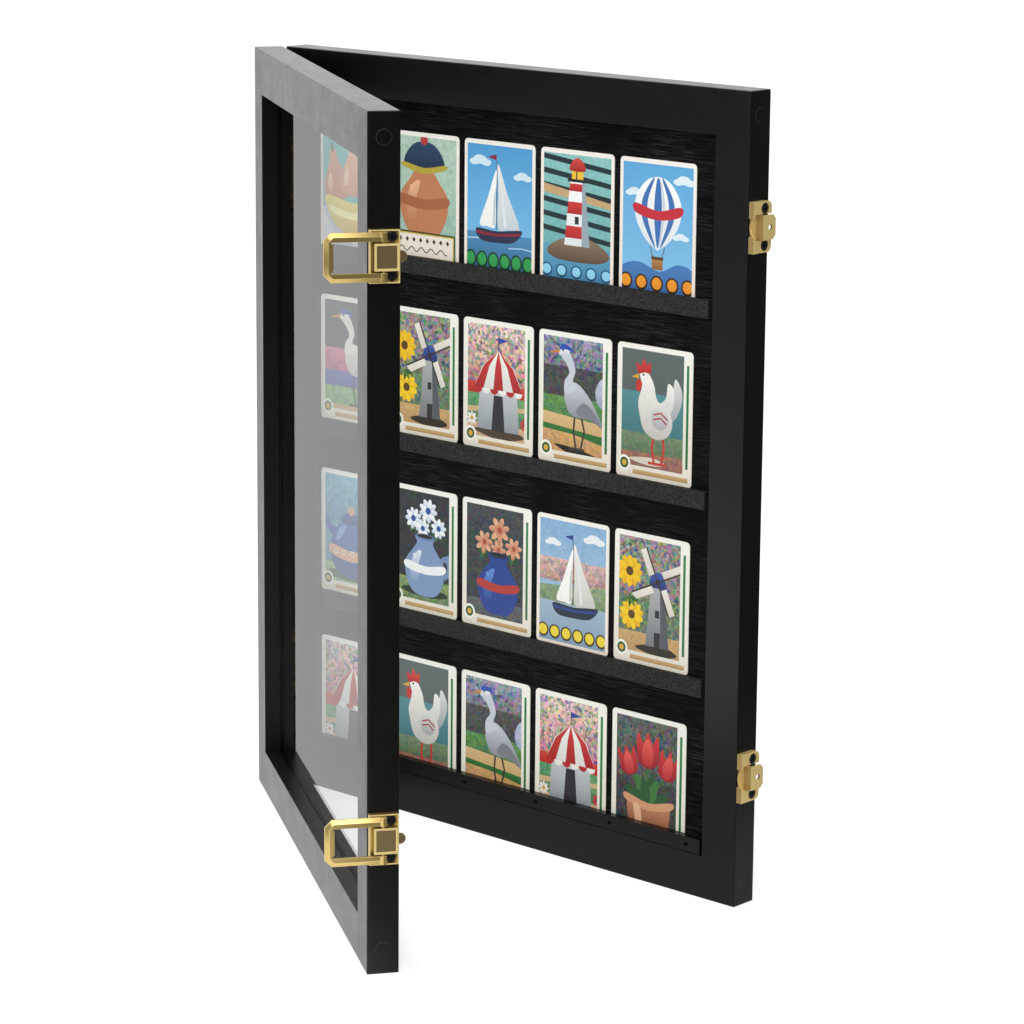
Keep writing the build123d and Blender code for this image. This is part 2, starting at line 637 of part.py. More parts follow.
# ------------------------------------------------------------------ latch bases
def latch_base(height):
    """A stamped tray on the door's edge, with the housing of the bail's pin."""
    tray_y = DOOR_INNER - TRAY_INSET - TRAY_WIDTH / 2
    housing_y = DOOR_INNER - HOUSING_INSET - HOUSING_WIDTH / 2
    tongue_y = DOOR_INNER + TONGUE_REACH - TONGUE_RADIUS
    tongue_root = DOOR_INNER - TRAY_INSET - TRAY_WALL / 2
    screw_y = DOOR_INNER - TRAY_SCREW_INSET
    with BuildPart() as base:
        with BuildSketch(side_plane(RIGHT)):
            with Locations((tray_y, height)):
                Rectangle(TRAY_WIDTH, TRAY_HEIGHT)
        extrude(amount=TRAY_RIM)
        with BuildSketch(side_plane(RIGHT + TRAY_FLOOR)):
            with Locations((tray_y, height)):
                Rectangle(TRAY_WIDTH - 2 * TRAY_WALL, TRAY_HEIGHT - 2 * TRAY_WALL)
        extrude(amount=TRAY_RIM, mode=Mode.SUBTRACT)
        with BuildSketch(side_plane(RIGHT)):
            with Locations((housing_y, height)):
                Rectangle(HOUSING_WIDTH, HOUSING_HEIGHT)
        extrude(amount=HOUSING_RISE)
        with BuildSketch(side_plane(RIGHT + HOUSING_RISE)):
            with Locations((housing_y, height)):
                Rectangle(HOUSING_WIDTH - 2 * HOUSING_RIM, HOUSING_HEIGHT - 2 * HOUSING_RIM)
        extrude(amount=-HOUSING_RECESS, mode=Mode.SUBTRACT)
        with BuildSketch(side_plane(RIGHT + TONGUE_LEVEL)):
            with Locations((tongue_y, height)):
                Circle(TONGUE_RADIUS)
            with Locations(((tongue_y + tongue_root) / 2, height)):
                Rectangle(tongue_y - tongue_root, 2 * TONGUE_RADIUS)
            with Locations((tongue_root - TONGUE_RADIUS, height)):
                Rectangle(2 * TONGUE_RADIUS, 3 * TONGUE_RADIUS, mode=Mode.SUBTRACT)
        extrude(amount=TONGUE_THICKNESS)
        with Locations((PIVOT_X, PIVOT_Y, height)):
            Cylinder(PIVOT_PIN_RADIUS, HOUSING_HEIGHT, mode=Mode.SUBTRACT)
        screws = [
            looking(RIGHT + TRAY_FLOOR, screw_y, height + spread, (1, 0, 0))
            for spread in (-TRAY_SCREW_SPREAD, TRAY_SCREW_SPREAD)
        ]
        with Locations(*screws):
            Hole(SMALL_SCREW_RADIUS, TRAY_FLOOR)
    return base.part


# ------------------------------------------------------------------------ bails
def bail(height):
    """A bevelled loop folded back over the door's edge, hung on its pin."""
    low_x = PIVOT_X - BAIL_THICKNESS / 2
    far_y = PIVOT_Y - BAIL_REACH
    outline_length = BAIL_REACH + BAIL_EYE_RADIUS * 2
    outline_y = far_y + outline_length / 2
    window_far = far_y + BAIL_BAR
    window_length = outline_length - BAIL_BAR
    lip_y = window_far + BAIL_LIP / 2
    with BuildPart() as loop:
        with BuildSketch(side_plane(low_x)) as outline:
            with Locations((outline_y, height)):
                Rectangle(outline_length, BAIL_HEIGHT)
            chamfer(outline.vertices().group_by(Axis.X)[0], BAIL_CORNER)
        extrude(amount=BAIL_EDGE)
        with BuildSketch(side_plane(low_x + BAIL_EDGE)) as bevel:
            with Locations((outline_y, height)):
                Rectangle(outline_length, BAIL_HEIGHT)
            chamfer(bevel.vertices().group_by(Axis.X)[0], BAIL_CORNER)
        extrude(amount=BAIL_THICKNESS - BAIL_EDGE, taper=BAIL_BEVEL_ANGLE)
        with BuildSketch(side_plane(low_x)):
            with Locations((window_far + window_length / 2, height)):
                Rectangle(window_length, BAIL_WINDOW)
            with Locations((PIVOT_Y + BAIL_EYE_RADIUS * 2, height)):
                Rectangle(BAIL_EYE_RADIUS * 4, 2 * BAIL_HEIGHT)
        extrude(amount=BAIL_THICKNESS, mode=Mode.SUBTRACT)
        with BuildSketch(side_plane(low_x)) as lip:
            with Locations((lip_y, height)):
                Rectangle(BAIL_LIP, BAIL_WINDOW)
            chamfer(lip.vertices().group_by(Axis.X)[-1], BAIL_LIP_BEVEL)
        extrude(amount=BAIL_THICKNESS / 2)
        for start in (height + BAIL_WINDOW / 2, height - BAIL_HEIGHT / 2):
            with BuildSketch(Plane.XY.offset(start)):
                with Locations((PIVOT_X, PIVOT_Y)):
                    Circle(BAIL_EYE_RADIUS)
            extrude(amount=BAIL_ARM)
        with Locations((PIVOT_X, PIVOT_Y, height)):
            Cylinder(PIVOT_PIN_RADIUS + PIVOT_BORE_PLAY, BAIL_HEIGHT, mode=Mode.SUBTRACT)
    return loop.part


for name, height in LATCH_HEIGHTS.items():
    save_on_door(latch_base(height), f"latch_base_{name}")
    save_on_door(bail(height), f"bail_{name}")

with BuildPart() as bail_pins:
    with Locations(*[(PIVOT_X, PIVOT_Y, height) for height in LATCH_HEIGHTS.values()]):
        Cylinder(PIVOT_PIN_RADIUS, BAIL_HEIGHT)
save_on_door(bail_pins.part, "bail_pins")


# ---------------------------------------------------------------------- catches
def catch(height):
    """A cast plate on the case's side, with a slot for the latch's tongue and a
    raised hook that the bail drops behind. A lock can go through the hook's hole."""
    front = CASE_FRONT + CATCH_SETBACK
    rear = front + CATCH_WIDTH
    hook_y = CASE_FRONT + HOOK_SETBACK
    hook_rear = CASE_FRONT + HOOK_REAR
    slot_start = hook_y + HOOK_THICKNESS
    slot_height = HOOK_HEIGHT + 2 * HOOK_SIDE_PLAY
    strap_x = RIGHT + CATCH_RISE - STRAP_RADIUS * 0.41 + STRAP_RADIUS
    wells = [
        looking(RIGHT + CATCH_RISE, CASE_FRONT + CATCH_SCREW_SETBACK, height + spread, (1, 0, 0))
        for spread in (-CATCH_SCREW_SPREAD, CATCH_SCREW_SPREAD)
    ]
    with BuildPart() as plate:
        with BuildSketch(side_plane(RIGHT)) as outline:
            with Locations(((front + rear) / 2, height)):
                Rectangle(CATCH_WIDTH, CATCH_HEIGHT)
            fillet(outline.vertices().group_by(Axis.X)[-1], CATCH_CORNER)
        extrude(amount=CATCH_RISE)
        with BuildSketch(side_plane(RIGHT + CATCH_RECESS_FLOOR)):
            with Locations(((front + CATCH_WALL + slot_start) / 2, height)):
                Rectangle(slot_start - front - CATCH_WALL, slot_height)
        extrude(amount=CATCH_RISE, mode=Mode.SUBTRACT)
        with BuildSketch(side_plane(RIGHT)):
            with Locations(((slot_start + rear) / 2, height)):
                Rectangle(rear - slot_start, slot_height)
            with Locations((front + CATCH_WALL / 2, height)):
                Rectangle(CATCH_WALL, 2 * STRAP_HALF_HEIGHT)
        extrude(amount=CATCH_RISE, mode=Mode.SUBTRACT)
        with BuildSketch(front_plane(front)):
            with Locations((strap_x, height)):
                Circle(STRAP_RADIUS + STRAP_THICKNESS)
                Circle(STRAP_RADIUS, mode=Mode.SUBTRACT)
            with Locations((RIGHT + CATCH_RISE / 2, height)):
                Rectangle(CATCH_RISE, 2 * (STRAP_HALF_HEIGHT + STRAP_ROOT), mode=Mode.INTERSECT)
        extrude(amount=-CATCH_WALL)
        with BuildSketch(side_plane(RIGHT)):
            with Locations((hook_y + HOOK_THICKNESS / 2, height)):
                Rectangle(HOOK_THICKNESS, HOOK_HEIGHT)
        extrude(amount=HOOK_RISE)
        with BuildSketch(side_plane(RIGHT + HOOK_RISE)) as hook:
            with Locations(((hook_y + hook_rear) / 2, height)):
                Rectangle(hook_rear - hook_y, HOOK_HEIGHT)
            chamfer(hook.vertices().group_by(Axis.X)[-1], HOOK_CORNER)
        extrude(amount=-HOOK_THICKNESS)
        with Locations(looking(RIGHT + HOOK_RISE, CASE_FRONT + LOCK_HOLE_SETBACK, height, (1, 0, 0))):
            Hole(LOCK_HOLE_RADIUS, HOOK_THICKNESS)
        with Locations(*wells):
            CounterBoreHole(SMALL_SCREW_RADIUS, CATCH_SCREW_WELL, SMALL_HEAD_HEIGHT, CATCH_RISE)
    return plate.part


for name, height in LATCH_HEIGHTS.items():
    save(catch(height), f"catch_{name}")


# ----------------------------------------------------------------- wall hangers
bridge_length = HANGER_LENGTH - 2 * HANGER_TAB
bridge_y = CASE_BACK + HANGER_STANDOFF + HANGER_SHEET / 2
tooth_pitch = bridge_length / HANGER_TEETH
riser_height = HANGER_STANDOFF + HANGER_SHEET
with BuildPart() as wall_hangers:
    with BuildSketch(Plane.XY.offset(HANGER_Z - HANGER_HEIGHT / 2)):
        for middle in (-HANGER_OFFSET, HANGER_OFFSET):
            with Locations((middle, bridge_y)):
                Rectangle(bridge_length, HANGER_SHEET)
            with Locations(
                (middle - bridge_length / 2, CASE_BACK + riser_height / 2),
                (middle + bridge_length / 2, CASE_BACK + riser_height / 2),
            ):
                Rectangle(HANGER_SHEET, riser_height)
            with Locations(
                (middle - HANGER_NAIL_REACH, CASE_BACK + HANGER_SHEET / 2),
                (middle + HANGER_NAIL_REACH, CASE_BACK + HANGER_SHEET / 2),
            ):
                Rectangle(HANGER_TAB, HANGER_SHEET)
    extrude(amount=HANGER_HEIGHT)
    with BuildSketch(front_plane(CASE_BACK)):
        for middle in (-HANGER_OFFSET, HANGER_OFFSET):
            with Locations((middle, HANGER_Z - HANGER_HEIGHT / 2)):
                with GridLocations(tooth_pitch, 1, HANGER_TEETH - 1, 1):
                    Triangle(a=tooth_pitch * 0.8, b=HANGER_TOOTH, c=HANGER_TOOTH)
    extrude(amount=-2 * riser_height, mode=Mode.SUBTRACT)
    add(hanger_nails, mode=Mode.SUBTRACT)
save(wall_hangers.part, "wall_hangers")
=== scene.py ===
import json
import math

import bmesh
import bpy
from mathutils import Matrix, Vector
from mathutils.geometry import delaunay_2d_cdt


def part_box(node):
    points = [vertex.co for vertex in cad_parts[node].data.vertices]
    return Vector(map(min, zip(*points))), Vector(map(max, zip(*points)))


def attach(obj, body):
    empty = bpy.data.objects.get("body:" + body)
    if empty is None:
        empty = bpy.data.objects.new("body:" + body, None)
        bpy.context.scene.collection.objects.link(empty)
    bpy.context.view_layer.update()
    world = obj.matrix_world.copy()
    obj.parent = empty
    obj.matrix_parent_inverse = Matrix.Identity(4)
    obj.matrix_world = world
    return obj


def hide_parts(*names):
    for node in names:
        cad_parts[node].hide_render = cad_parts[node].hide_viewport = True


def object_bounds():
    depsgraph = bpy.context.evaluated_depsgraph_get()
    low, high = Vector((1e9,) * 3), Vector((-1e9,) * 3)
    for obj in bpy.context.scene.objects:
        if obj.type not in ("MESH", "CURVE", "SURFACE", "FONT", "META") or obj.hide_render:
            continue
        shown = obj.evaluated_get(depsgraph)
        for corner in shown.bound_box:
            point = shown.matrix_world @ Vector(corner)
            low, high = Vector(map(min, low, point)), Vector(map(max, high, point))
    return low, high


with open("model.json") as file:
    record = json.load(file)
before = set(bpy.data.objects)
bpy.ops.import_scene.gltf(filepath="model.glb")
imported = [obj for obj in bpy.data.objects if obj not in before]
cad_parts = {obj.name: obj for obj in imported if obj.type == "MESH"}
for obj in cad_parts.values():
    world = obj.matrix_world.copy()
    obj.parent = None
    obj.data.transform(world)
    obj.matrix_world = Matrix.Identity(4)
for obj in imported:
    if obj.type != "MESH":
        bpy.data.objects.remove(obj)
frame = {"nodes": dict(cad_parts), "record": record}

cad_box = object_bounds()

# ----------------------------------------------------------------- the studio
# A white table and a white room, as in a shop photograph. The camera stands
# two and a half metres off, at the height of a standing photographer's chest.
scene = bpy.context.scene
scene.view_settings.view_transform = "Standard"


def linear(colour):
    """An sRGB hex colour as linear red, green, blue and alpha."""
    parts = [int(colour[i:i + 2], 16) / 255 for i in (1, 3, 5)]
    return [p / 12.92 if p <= 0.04045 else ((p + 0.055) / 1.055) ** 2.4
            for p in parts] + [1.0]


def node(tree, kind, inputs=None, **settings):
    """Add a node, set its properties, and fill or link its inputs.

    A node given as an input stands for its first output in use.
    """
    made = tree.nodes.new("ShaderNode" + kind)
    for key, value in settings.items():
        setattr(made, key, value)
    for key, value in (inputs or {}).items():
        if isinstance(value, bpy.types.Node):
            value = next(end for end in value.outputs if end.enabled)
        if isinstance(value, bpy.types.NodeSocket):
            tree.links.new(value, made.inputs[key])
        else:
            made.inputs[key].default_value = value
    return made


def material(name):
    """An empty node material and its node tree."""
    made = bpy.data.materials.new(name)
    made.use_nodes = True
    made.node_tree.nodes.clear()
    return made, made.node_tree


CAMERA_PLACE = (1.56097, -1.72267, 0.75484)
CAMERA_TURN = (78.7399, -0.4819, 42.2792)
CAMERA_LENS = 123.86
CAMERA_SHIFT_Y = -0.0898

camera_data = bpy.data.cameras.new("camera")
camera_data.lens = CAMERA_LENS
camera_data.sensor_width = 36.0
camera_data.shift_y = CAMERA_SHIFT_Y
camera_data.clip_end = 100.0
camera = bpy.data.objects.new("camera", camera_data)
camera.location = CAMERA_PLACE
camera.rotation_euler = [math.radians(a) for a in CAMERA_TURN]
scene.collection.objects.link(camera)
scene.camera = camera

# The room is white for the camera. What gloss shows of it is a bright wall
# behind the case at the left and a dim room on the other sides.
BRIGHT_SIDE = (-0.92, 0.385, 0.0)
ROOM_STEPS = [(0.0, 0.07), (0.3, 0.08), (0.62, 0.22), (0.72, 0.36),
              (0.86, 0.80), (0.95, 1.25)]
ROOM_LIGHT = 0.86


def room_brightness(tree, direction):
    """How bright the room looks in a direction, for gloss alone."""
    toward = node(tree, "VectorMath",
                  {0: direction, 1: BRIGHT_SIDE}, operation="DOT_PRODUCT")
    share = node(tree, "MapRange",
                 {"Value": toward, "From Min": -1.0, "From Max": 1.0})
    ramp = node(tree, "ValToRGB", {"Fac": share})
    while len(ramp.color_ramp.elements) < len(ROOM_STEPS):
        ramp.color_ramp.elements.new(0.5)
    for element, (place, level) in zip(ramp.color_ramp.elements, ROOM_STEPS):
        element.position = place
        element.color = (level, level, level, 1.0)
    return ramp


world = bpy.data.worlds.new("white studio room")
world.use_nodes = True
scene.world = world
tree = world.node_tree
tree.nodes.clear()
around = node(tree, "TexCoord").outputs["Generated"]
path = node(tree, "LightPath")
seen_in_gloss = node(tree, "Background",
                     {"Color": room_brightness(tree, around)})
seen_by_camera = node(tree, "Background", {"Color": (1, 1, 1, 1)})
lighting = node(tree, "Background",
                {"Color": linear("#fffdfa"), "Strength": ROOM_LIGHT})
room = node(tree, "MixShader",
            {0: path.outputs["Is Glossy Ray"], 1: lighting, 2: seen_in_gloss})
room = node(tree, "MixShader",
            {0: path.outputs["Is Camera Ray"], 1: room, 2: seen_by_camera})
node(tree, "OutputWorld", {"Surface": room})

# The table top is matt white laminate. It keeps the soft shadow of the case.
# A white board lies on it outside the door and lights up the door's gloss.
# Beside the case the gloss shows a dim table that gets darker further out.
TABLE_HALF = 25.0
TABLE_GLOW = 0.62
TABLE_NEAR = 0.30
TABLE_FAR = 2.0
BOARD_SIDE = (-0.566, -0.824, 0.0)
BOARD_START = 0.117
BOARD_END = 0.147
BOARD_LEVEL = 1.25
DIM_START = 0.3
DIM_END = 0.5
DIM_LEVELS = (0.5, 0.08)

table_mesh = bpy.data.meshes.new("table_top")
table_mesh.from_pydata(
    [(x * TABLE_HALF, y * TABLE_HALF, 0.0)
     for x, y in ((-1, -1), (1, -1), (1, 1), (-1, 1))], [], [(0, 1, 2, 3)])
table = bpy.data.objects.new("table_top", table_mesh)
scene.collection.objects.link(table)
laminate, tree = material("matt white laminate")
path = node(tree, "LightPath")
place = node(tree, "TexCoord").outputs["Object"]
away = node(tree, "VectorMath", {0: place}, operation="NORMALIZE")
reach = node(tree, "VectorMath", {0: place}, operation="LENGTH")
nearness = node(tree, "MapRange",
                {"Value": reach, "From Min": TABLE_NEAR, "From Max": TABLE_FAR,
                 "To Min": 1.0, "To Max": 0.0},
                interpolation_type="SMOOTHSTEP")
past_door = node(tree, "VectorMath", {0: place, 1: BOARD_SIDE},
                 operation="DOT_PRODUCT")
on_board = node(tree, "MapRange",
                {"Value": past_door, "From Min": BOARD_START,
                 "From Max": BOARD_END})
beside_case = node(tree, "MapRange",
                   {"Value": reach, "From Min": DIM_START, "From Max": DIM_END,
                    "To Min": DIM_LEVELS[0], "To Max": DIM_LEVELS[1]})
near_case = node(tree, "Mix",
                 {"Factor": on_board, "A": beside_case,
                  "B": [BOARD_LEVEL] * 3 + [1.0]}, data_type="RGBA")
seen_on_table = node(tree, "Mix",
                     {"Factor": nearness, "A": room_brightness(tree, away),
                      "B": near_case}, data_type="RGBA")
seen_in_gloss = node(tree, "Emission", {"Color": seen_on_table})
matt = node(tree, "BsdfDiffuse", {"Color": linear("#c2c2c2")})
glow = node(tree, "Emission",
            {"Color": (1, 1, 1, 1), "Strength": TABLE_GLOW})
lit = node(tree, "AddShader", {0: matt, 1: glow})
top = node(tree, "MixShader",
           {0: path.outputs["Is Camera Ray"], 1: matt, 2: lit})
top = node(tree, "MixShader",
           {0: path.outputs["Is Glossy Ray"], 1: top, 2: seen_in_gloss})
node(tree, "OutputMaterial", {"Surface": top})
table_mesh.materials.append(laminate)

# Three softboxes: a large one in front at the right, a smaller one above left,
# and a low one straight ahead that reaches the cards behind the glass. The one
# above stays out of reflections, so that the top edges look black.
LIT_PLACE = Vector((0.0, -0.05, 0.25))

for name, power, size, stand, in_gloss in (
        ("softbox front", 34.0, 1.6, (1.9, -2.0, 2.1), True),
        ("softbox above", 16.0, 1.2, (-1.1, -0.9, 2.4), False),
        ("softbox ahead", 11.0, 1.2, (-0.3, -2.4, 1.0), True)):
    lamp = bpy.data.lights.new(name, "AREA")
    lamp.energy = power
    lamp.size = size
    softbox = bpy.data.objects.new(name, lamp)
    softbox.location = stand
    aim = LIT_PLACE - Vector(stand)
    softbox.rotation_euler = aim.to_track_quat("-Z", "Y").to_euler()
    softbox.visible_glossy = in_gloss
    scene.collection.objects.link(softbox)

# ----------------------------------------------------- boards of case and door
# Pine boards, planed, stained and brushed with black satin lacquer. The grain
# runs along each board and shows as faint streaks under the film.
DOOR_TURN = math.radians(34.5)
GRAIN_WIDTH = 0.0011
GRAIN_LENGTH = 0.075
PEEL_SIZE = 0.0022
WEAR_SIZE = 0.018
FILM_RELIEF = 0.00006
CASE_TOP = cad_box[1][2]
TOP_WEAR_AND_SHEEN_DEPTH = 0.0006


def lacquered_pine(name, along, turn, gloss, light="#090807", dark="#050404"):
    """Black satin lacquer over pine whose grain runs along x or z.

    The brush left a fine orange peel. At the very top of the case and the
    door the film is rubbed thin, and the grain shows there as a pale line,
    which is partly a painted highlight along the top edges.
    """
    made, tree = material(name)
    place = node(tree, "TexCoord").outputs["Object"]
    straight = node(tree, "VectorRotate",
                    {"Vector": place, "Angle": turn}, rotation_type="Z_AXIS")
    stretch = [1 / GRAIN_WIDTH] * 3
    stretch["xyz".index(along)] = 1 / GRAIN_LENGTH
    along_grain = node(tree, "VectorMath",
                       {0: straight, 1: stretch}, operation="MULTIPLY")
    grain = node(tree, "TexNoise",
                 {"Vector": along_grain, "Scale": 1.0, "Detail": 3.0,
                  "Roughness": 0.6})
    peel = node(tree, "TexNoise",
                {"Vector": straight, "Scale": 1 / PEEL_SIZE, "Detail": 2.0})
    wear = node(tree, "TexNoise",
                {"Vector": straight, "Scale": 1 / WEAR_SIZE, "Detail": 5.0,
                 "Roughness": 0.65})
    tone = node(tree, "Mix",
                {"Factor": grain, "A": linear(light), "B": linear(dark)},
                data_type="RGBA")
    shine = node(tree, "MapRange",
                 {"Value": wear, "From Min": 0.3, "From Max": 0.7,
                  "To Min": 0.26, "To Max": 0.33})
    streak = node(tree, "Math", {0: grain, 1: 0.10, 2: shine},
                  operation="MULTIPLY_ADD")
    bumps = node(tree, "Math", {0: peel, 1: 0.5, 2: grain},
                 operation="MULTIPLY_ADD")
    relief = node(tree, "Bump",
                  {"Height": bumps, "Strength": 0.2, "Distance": FILM_RELIEF})
    height = node(tree, "SeparateXYZ", {"Vector": place})
    # The top 0.6 mm of the case and door is painted pale with the grain: worn film, and
    # partly a painted highlight along the top edges.
    on_top = node(tree, "MapRange",
                  {"Value": height.outputs["Z"],
                   "From Min": CASE_TOP - TOP_WEAR_AND_SHEEN_DEPTH, "From Max": CASE_TOP})
    top_wear_and_sheen_grain = node(tree, "MapRange",
                        {"Value": grain, "From Min": 0.35, "From Max": 0.65,
                         "To Min": 0.2, "To Max": 1.0})
    rubbed_and_sheen = node(tree, "Math", {0: on_top, 1: top_wear_and_sheen_grain},
                  operation="MULTIPLY")
    paled = node(tree, "Mix",
                {"Factor": rubbed_and_sheen, "A": tone, "B": linear("#6b6862")},
                data_type="RGBA")
    film = node(tree, "BsdfPrincipled",
                {"Base Color": paled, "Roughness": streak, "IOR": 1.5,
                 "Specular IOR Level": gloss, "Normal": relief})
    node(tree, "OutputMaterial", {"Surface": film})
    return made


# The last number is the gloss: the door's rails shine most, its stiles least.
upright_lacquer = lacquered_pine("satin black lacquer, upright grain", "z",
                                 0.0, 0.42)
case_rail_lacquer = lacquered_pine("satin black lacquer, level grain", "x",
                                   0.0, 0.42)
door_rail_lacquer = lacquered_pine("satin black lacquer, door rail grain",
                                   "x", DOOR_TURN, 0.52)
door_stile_lacquer = lacquered_pine("satin black lacquer, door stile grain",
                                    "z", DOOR_TURN, 0.36)


def dress(finish, *names):
    """Give CAD nodes a finish."""
    for name in names:
        for slot in frame["nodes"][name].material_slots:
            slot.material = finish


dress(upright_lacquer, "case_stile_left", "case_stile_right")
dress(door_stile_lacquer, "door_stile_hinge", "door_stile_free")
dress(case_rail_lacquer, "case_rail_top", "case_rail_bottom")
dress(door_rail_lacquer, "door_rail_top", "door_rail_bottom")

# ---------------------------------------------------------------------- plugs
# Pine plugs over the screws of the corner joints, sanded level and lacquered
# with the boards. The film is thin on their edges, and the paler edge is
# partly a painted highlight, so they show as rings.
PLUG_EDGE = 0.0004
SAME_POINT = 1e-6
FLAT_ANGLE = math.radians(0.5)
SHARP_ANGLE = math.radians(32)
BODIES = {piece: body
          for body, pieces in frame["record"]["behaviour"]["bodies"].items()
          for piece in pieces}


def cad_shape(name):
    """A copy of a CAD piece's shape with its split points joined."""
    shape = bmesh.new()
    shape.from_mesh(frame["nodes"][name].data)
    bmesh.ops.remove_doubles(shape, verts=shape.verts, dist=SAME_POINT)
    return shape


def drawn_mesh(name, shape, finishes):
    """A mesh of a shape, without the shading that the CAD file gave it."""
    mesh = bpy.data.meshes.new(name)
    shape.to_mesh(mesh)
    shape.free()
    for layer in ("custom_normal", "sharp_edge", "sharp_face"):
        if layer in mesh.attributes:
            mesh.attributes.remove(mesh.attributes[layer])
    for finish in finishes:
        mesh.materials.append(finish)
    return mesh


def stand_in(title, mesh, name):
    """A drawn piece that rides where its CAD piece does and replaces it."""
    piece = bpy.data.objects.new(title, mesh)
    scene.collection.objects.link(piece)
    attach(piece, BODIES[name])
    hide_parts(name)
    return piece


def broken_edges(finishes, slot, width, *names, choose=None):
    """Stand-ins for CAD pieces whose sharp edges are rounded a little.

    Choose gives each face the number of its finish. The edges take the
    second finish.
    """
    for name in names:
        shape = cad_shape(name)
        bmesh.ops.dissolve_limit(shape, angle_limit=FLAT_ANGLE,
                                 verts=shape.verts, edges=shape.edges)
        shape.normal_update()
        for face in shape.faces:
            face.material_index = choose(face) if choose else 0
        mesh = drawn_mesh(name + "_drawn", shape, finishes)
        mesh.shade_smooth()
        piece = stand_in("broken_" + name, mesh, name)
        bevel = piece.modifiers.new("broken edges", "BEVEL")
        bevel.width = width
        bevel.segments = 2
        bevel.limit_method = "ANGLE"
        bevel.angle_limit = SHARP_ANGLE
        bevel.harden_normals = True
        # The second finish on the broken edges is paler: for brass and plugs it is partly
        # a painted highlight.
        bevel.material = min(1, len(finishes) - 1)
        ready = piece.evaluated_get(bpy.context.evaluated_depsgraph_get())
        rounded = bpy.data.meshes.new_from_object(ready)
        piece.modifiers.clear()
        piece.data = rounded


# Paler lacquer on the plugs' broken edges: thin film, and partly a painted highlight.
thin_and_sheen_lacquer = lacquered_pine("black lacquer, thin round a plug, painted sheen", "z", 0.0,
                              0.42, "#45423c", "#2c2a26")
broken_edges([upright_lacquer, thin_and_sheen_lacquer], "black_wood", PLUG_EDGE,
             "case_plugs")
broken_edges([door_stile_lacquer, thin_and_sheen_lacquer], "black_wood", PLUG_EDGE,
             "door_plugs")

# ----------------------------------------------------------------- back panel
# Plywood with an open-pored face veneer, stained black. The pores run level
# and catch the light as short dashes.
PORE_WIDTH = 0.0005
PORE_LENGTH = 0.02
PORE_DEPTH = 0.00025
STAIN_PATCH = 0.055

stained_veneer, tree = material("black stained plywood veneer")
place = node(tree, "TexCoord").outputs["Object"]
along_pores = node(tree, "VectorMath",
                   {0: place,
                    1: (1 / PORE_LENGTH, 1 / PORE_WIDTH, 1 / PORE_WIDTH)},
                   operation="MULTIPLY")
pores = node(tree, "TexNoise",
             {"Vector": along_pores, "Scale": 1.0, "Detail": 4.0,
              "Roughness": 0.7})
dashes = node(tree, "MapRange",
              {"Value": pores, "From Min": 0.48, "From Max": 0.74})
patches = node(tree, "TexNoise",
               {"Vector": place, "Scale": 1 / STAIN_PATCH, "Detail": 1.0})
thinness = node(tree, "MapRange",
                {"Value": patches, "From Min": 0.35, "From Max": 0.65,
                 "To Min": 0.25, "To Max": 1.0})
paled = node(tree, "Math", {0: dashes, 1: thinness},
            operation="MULTIPLY")
tone = node(tree, "Mix",
            {"Factor": paled, "A": linear("#050505"), "B": linear("#3d3d3e")},
            data_type="RGBA")
relief = node(tree, "Bump",
              {"Height": pores, "Strength": 0.5, "Distance": PORE_DEPTH})
stain = node(tree, "BsdfPrincipled",
             {"Base Color": tone, "Roughness": 0.5,
              "Specular IOR Level": 0.06, "Normal": relief})
node(tree, "OutputMaterial", {"Surface": stain})
dress(stained_veneer, "back_panel")

# --------------------------------------------------------------------- ledges
# Sawn fibreboard strips sprayed black. The saw left them rough, and the spray
# lies on the nap in grey specks. The bottom ledge is lacquered as the rails.
NAP_SIZE = 0.0011
NAP_DEPTH = 0.0004
LEDGE_EDGE = 0.0005

sprayed_board, tree = material("sprayed black fibreboard")
place = node(tree, "TexCoord").outputs["Object"]
nap = node(tree, "TexNoise",
           {"Vector": place, "Scale": 1 / NAP_SIZE, "Detail": 5.0,
            "Roughness": 0.75})
specks = node(tree, "MapRange",
              {"Value": nap, "From Min": 0.38, "From Max": 0.72})
tone = node(tree, "Mix",
            {"Factor": specks, "A": linear("#0f0f0f"),
             "B": linear("#434343")}, data_type="RGBA")
relief = node(tree, "Bump",
              {"Height": nap, "Strength": 1.0, "Distance": NAP_DEPTH})
spray = node(tree, "BsdfPrincipled",
             {"Base Color": tone, "Roughness": 0.7,
              "Specular IOR Level": 0.22, "Normal": relief})
node(tree, "OutputMaterial", {"Surface": spray})
broken_edges([sprayed_board], "black_ledge", LEDGE_EDGE, "ledge_upper",
             "ledge_middle", "ledge_lower")
dress(case_rail_lacquer, "bottom_ledge")

# ---------------------------------------------------------------------- glass
# Plain float glass. It lets the view through and adds its own reflection,
# which is strong here because the door is seen nearly edge on. Only the face
# where a ray enters reflects it, and shadows pass.
float_glass, tree = material("clear float glass")
fresnel = node(tree, "Fresnel", {"IOR": 1.5})
side = node(tree, "NewGeometry")
path = node(tree, "LightPath")
passed_on = node(tree, "Math",
                 {0: side.outputs["Backfacing"],
                  1: path.outputs["Is Shadow Ray"]}, operation="MAXIMUM")
entering = node(tree, "Math", {0: 1.0, 1: passed_on},
                operation="SUBTRACT")
one_face = node(tree, "Math", {0: fresnel, 1: entering},
                operation="MULTIPLY")
clear = node(tree, "BsdfTransparent", {"Color": linear("#fbfdfc")})
mirror = node(tree, "BsdfGlossy",
              {"Color": linear("#c6c6c8"), "Roughness": 0.02})
pane = node(tree, "MixShader", {0: one_face, 1: clear, 2: mirror})
node(tree, "OutputMaterial", {"Surface": pane})
dress(float_glass, "glass_pane")

# ------------------------------------------------------------- brass hardware
# Pressed and cast brass, barrel polished. The edges are broken, and the dull
# tumbled skin spreads the highlights.
TUMBLE_SIZE = 0.0009  # Real marks are 0.2 mm, too fine to show.
SHINE_SPREAD = 0.04


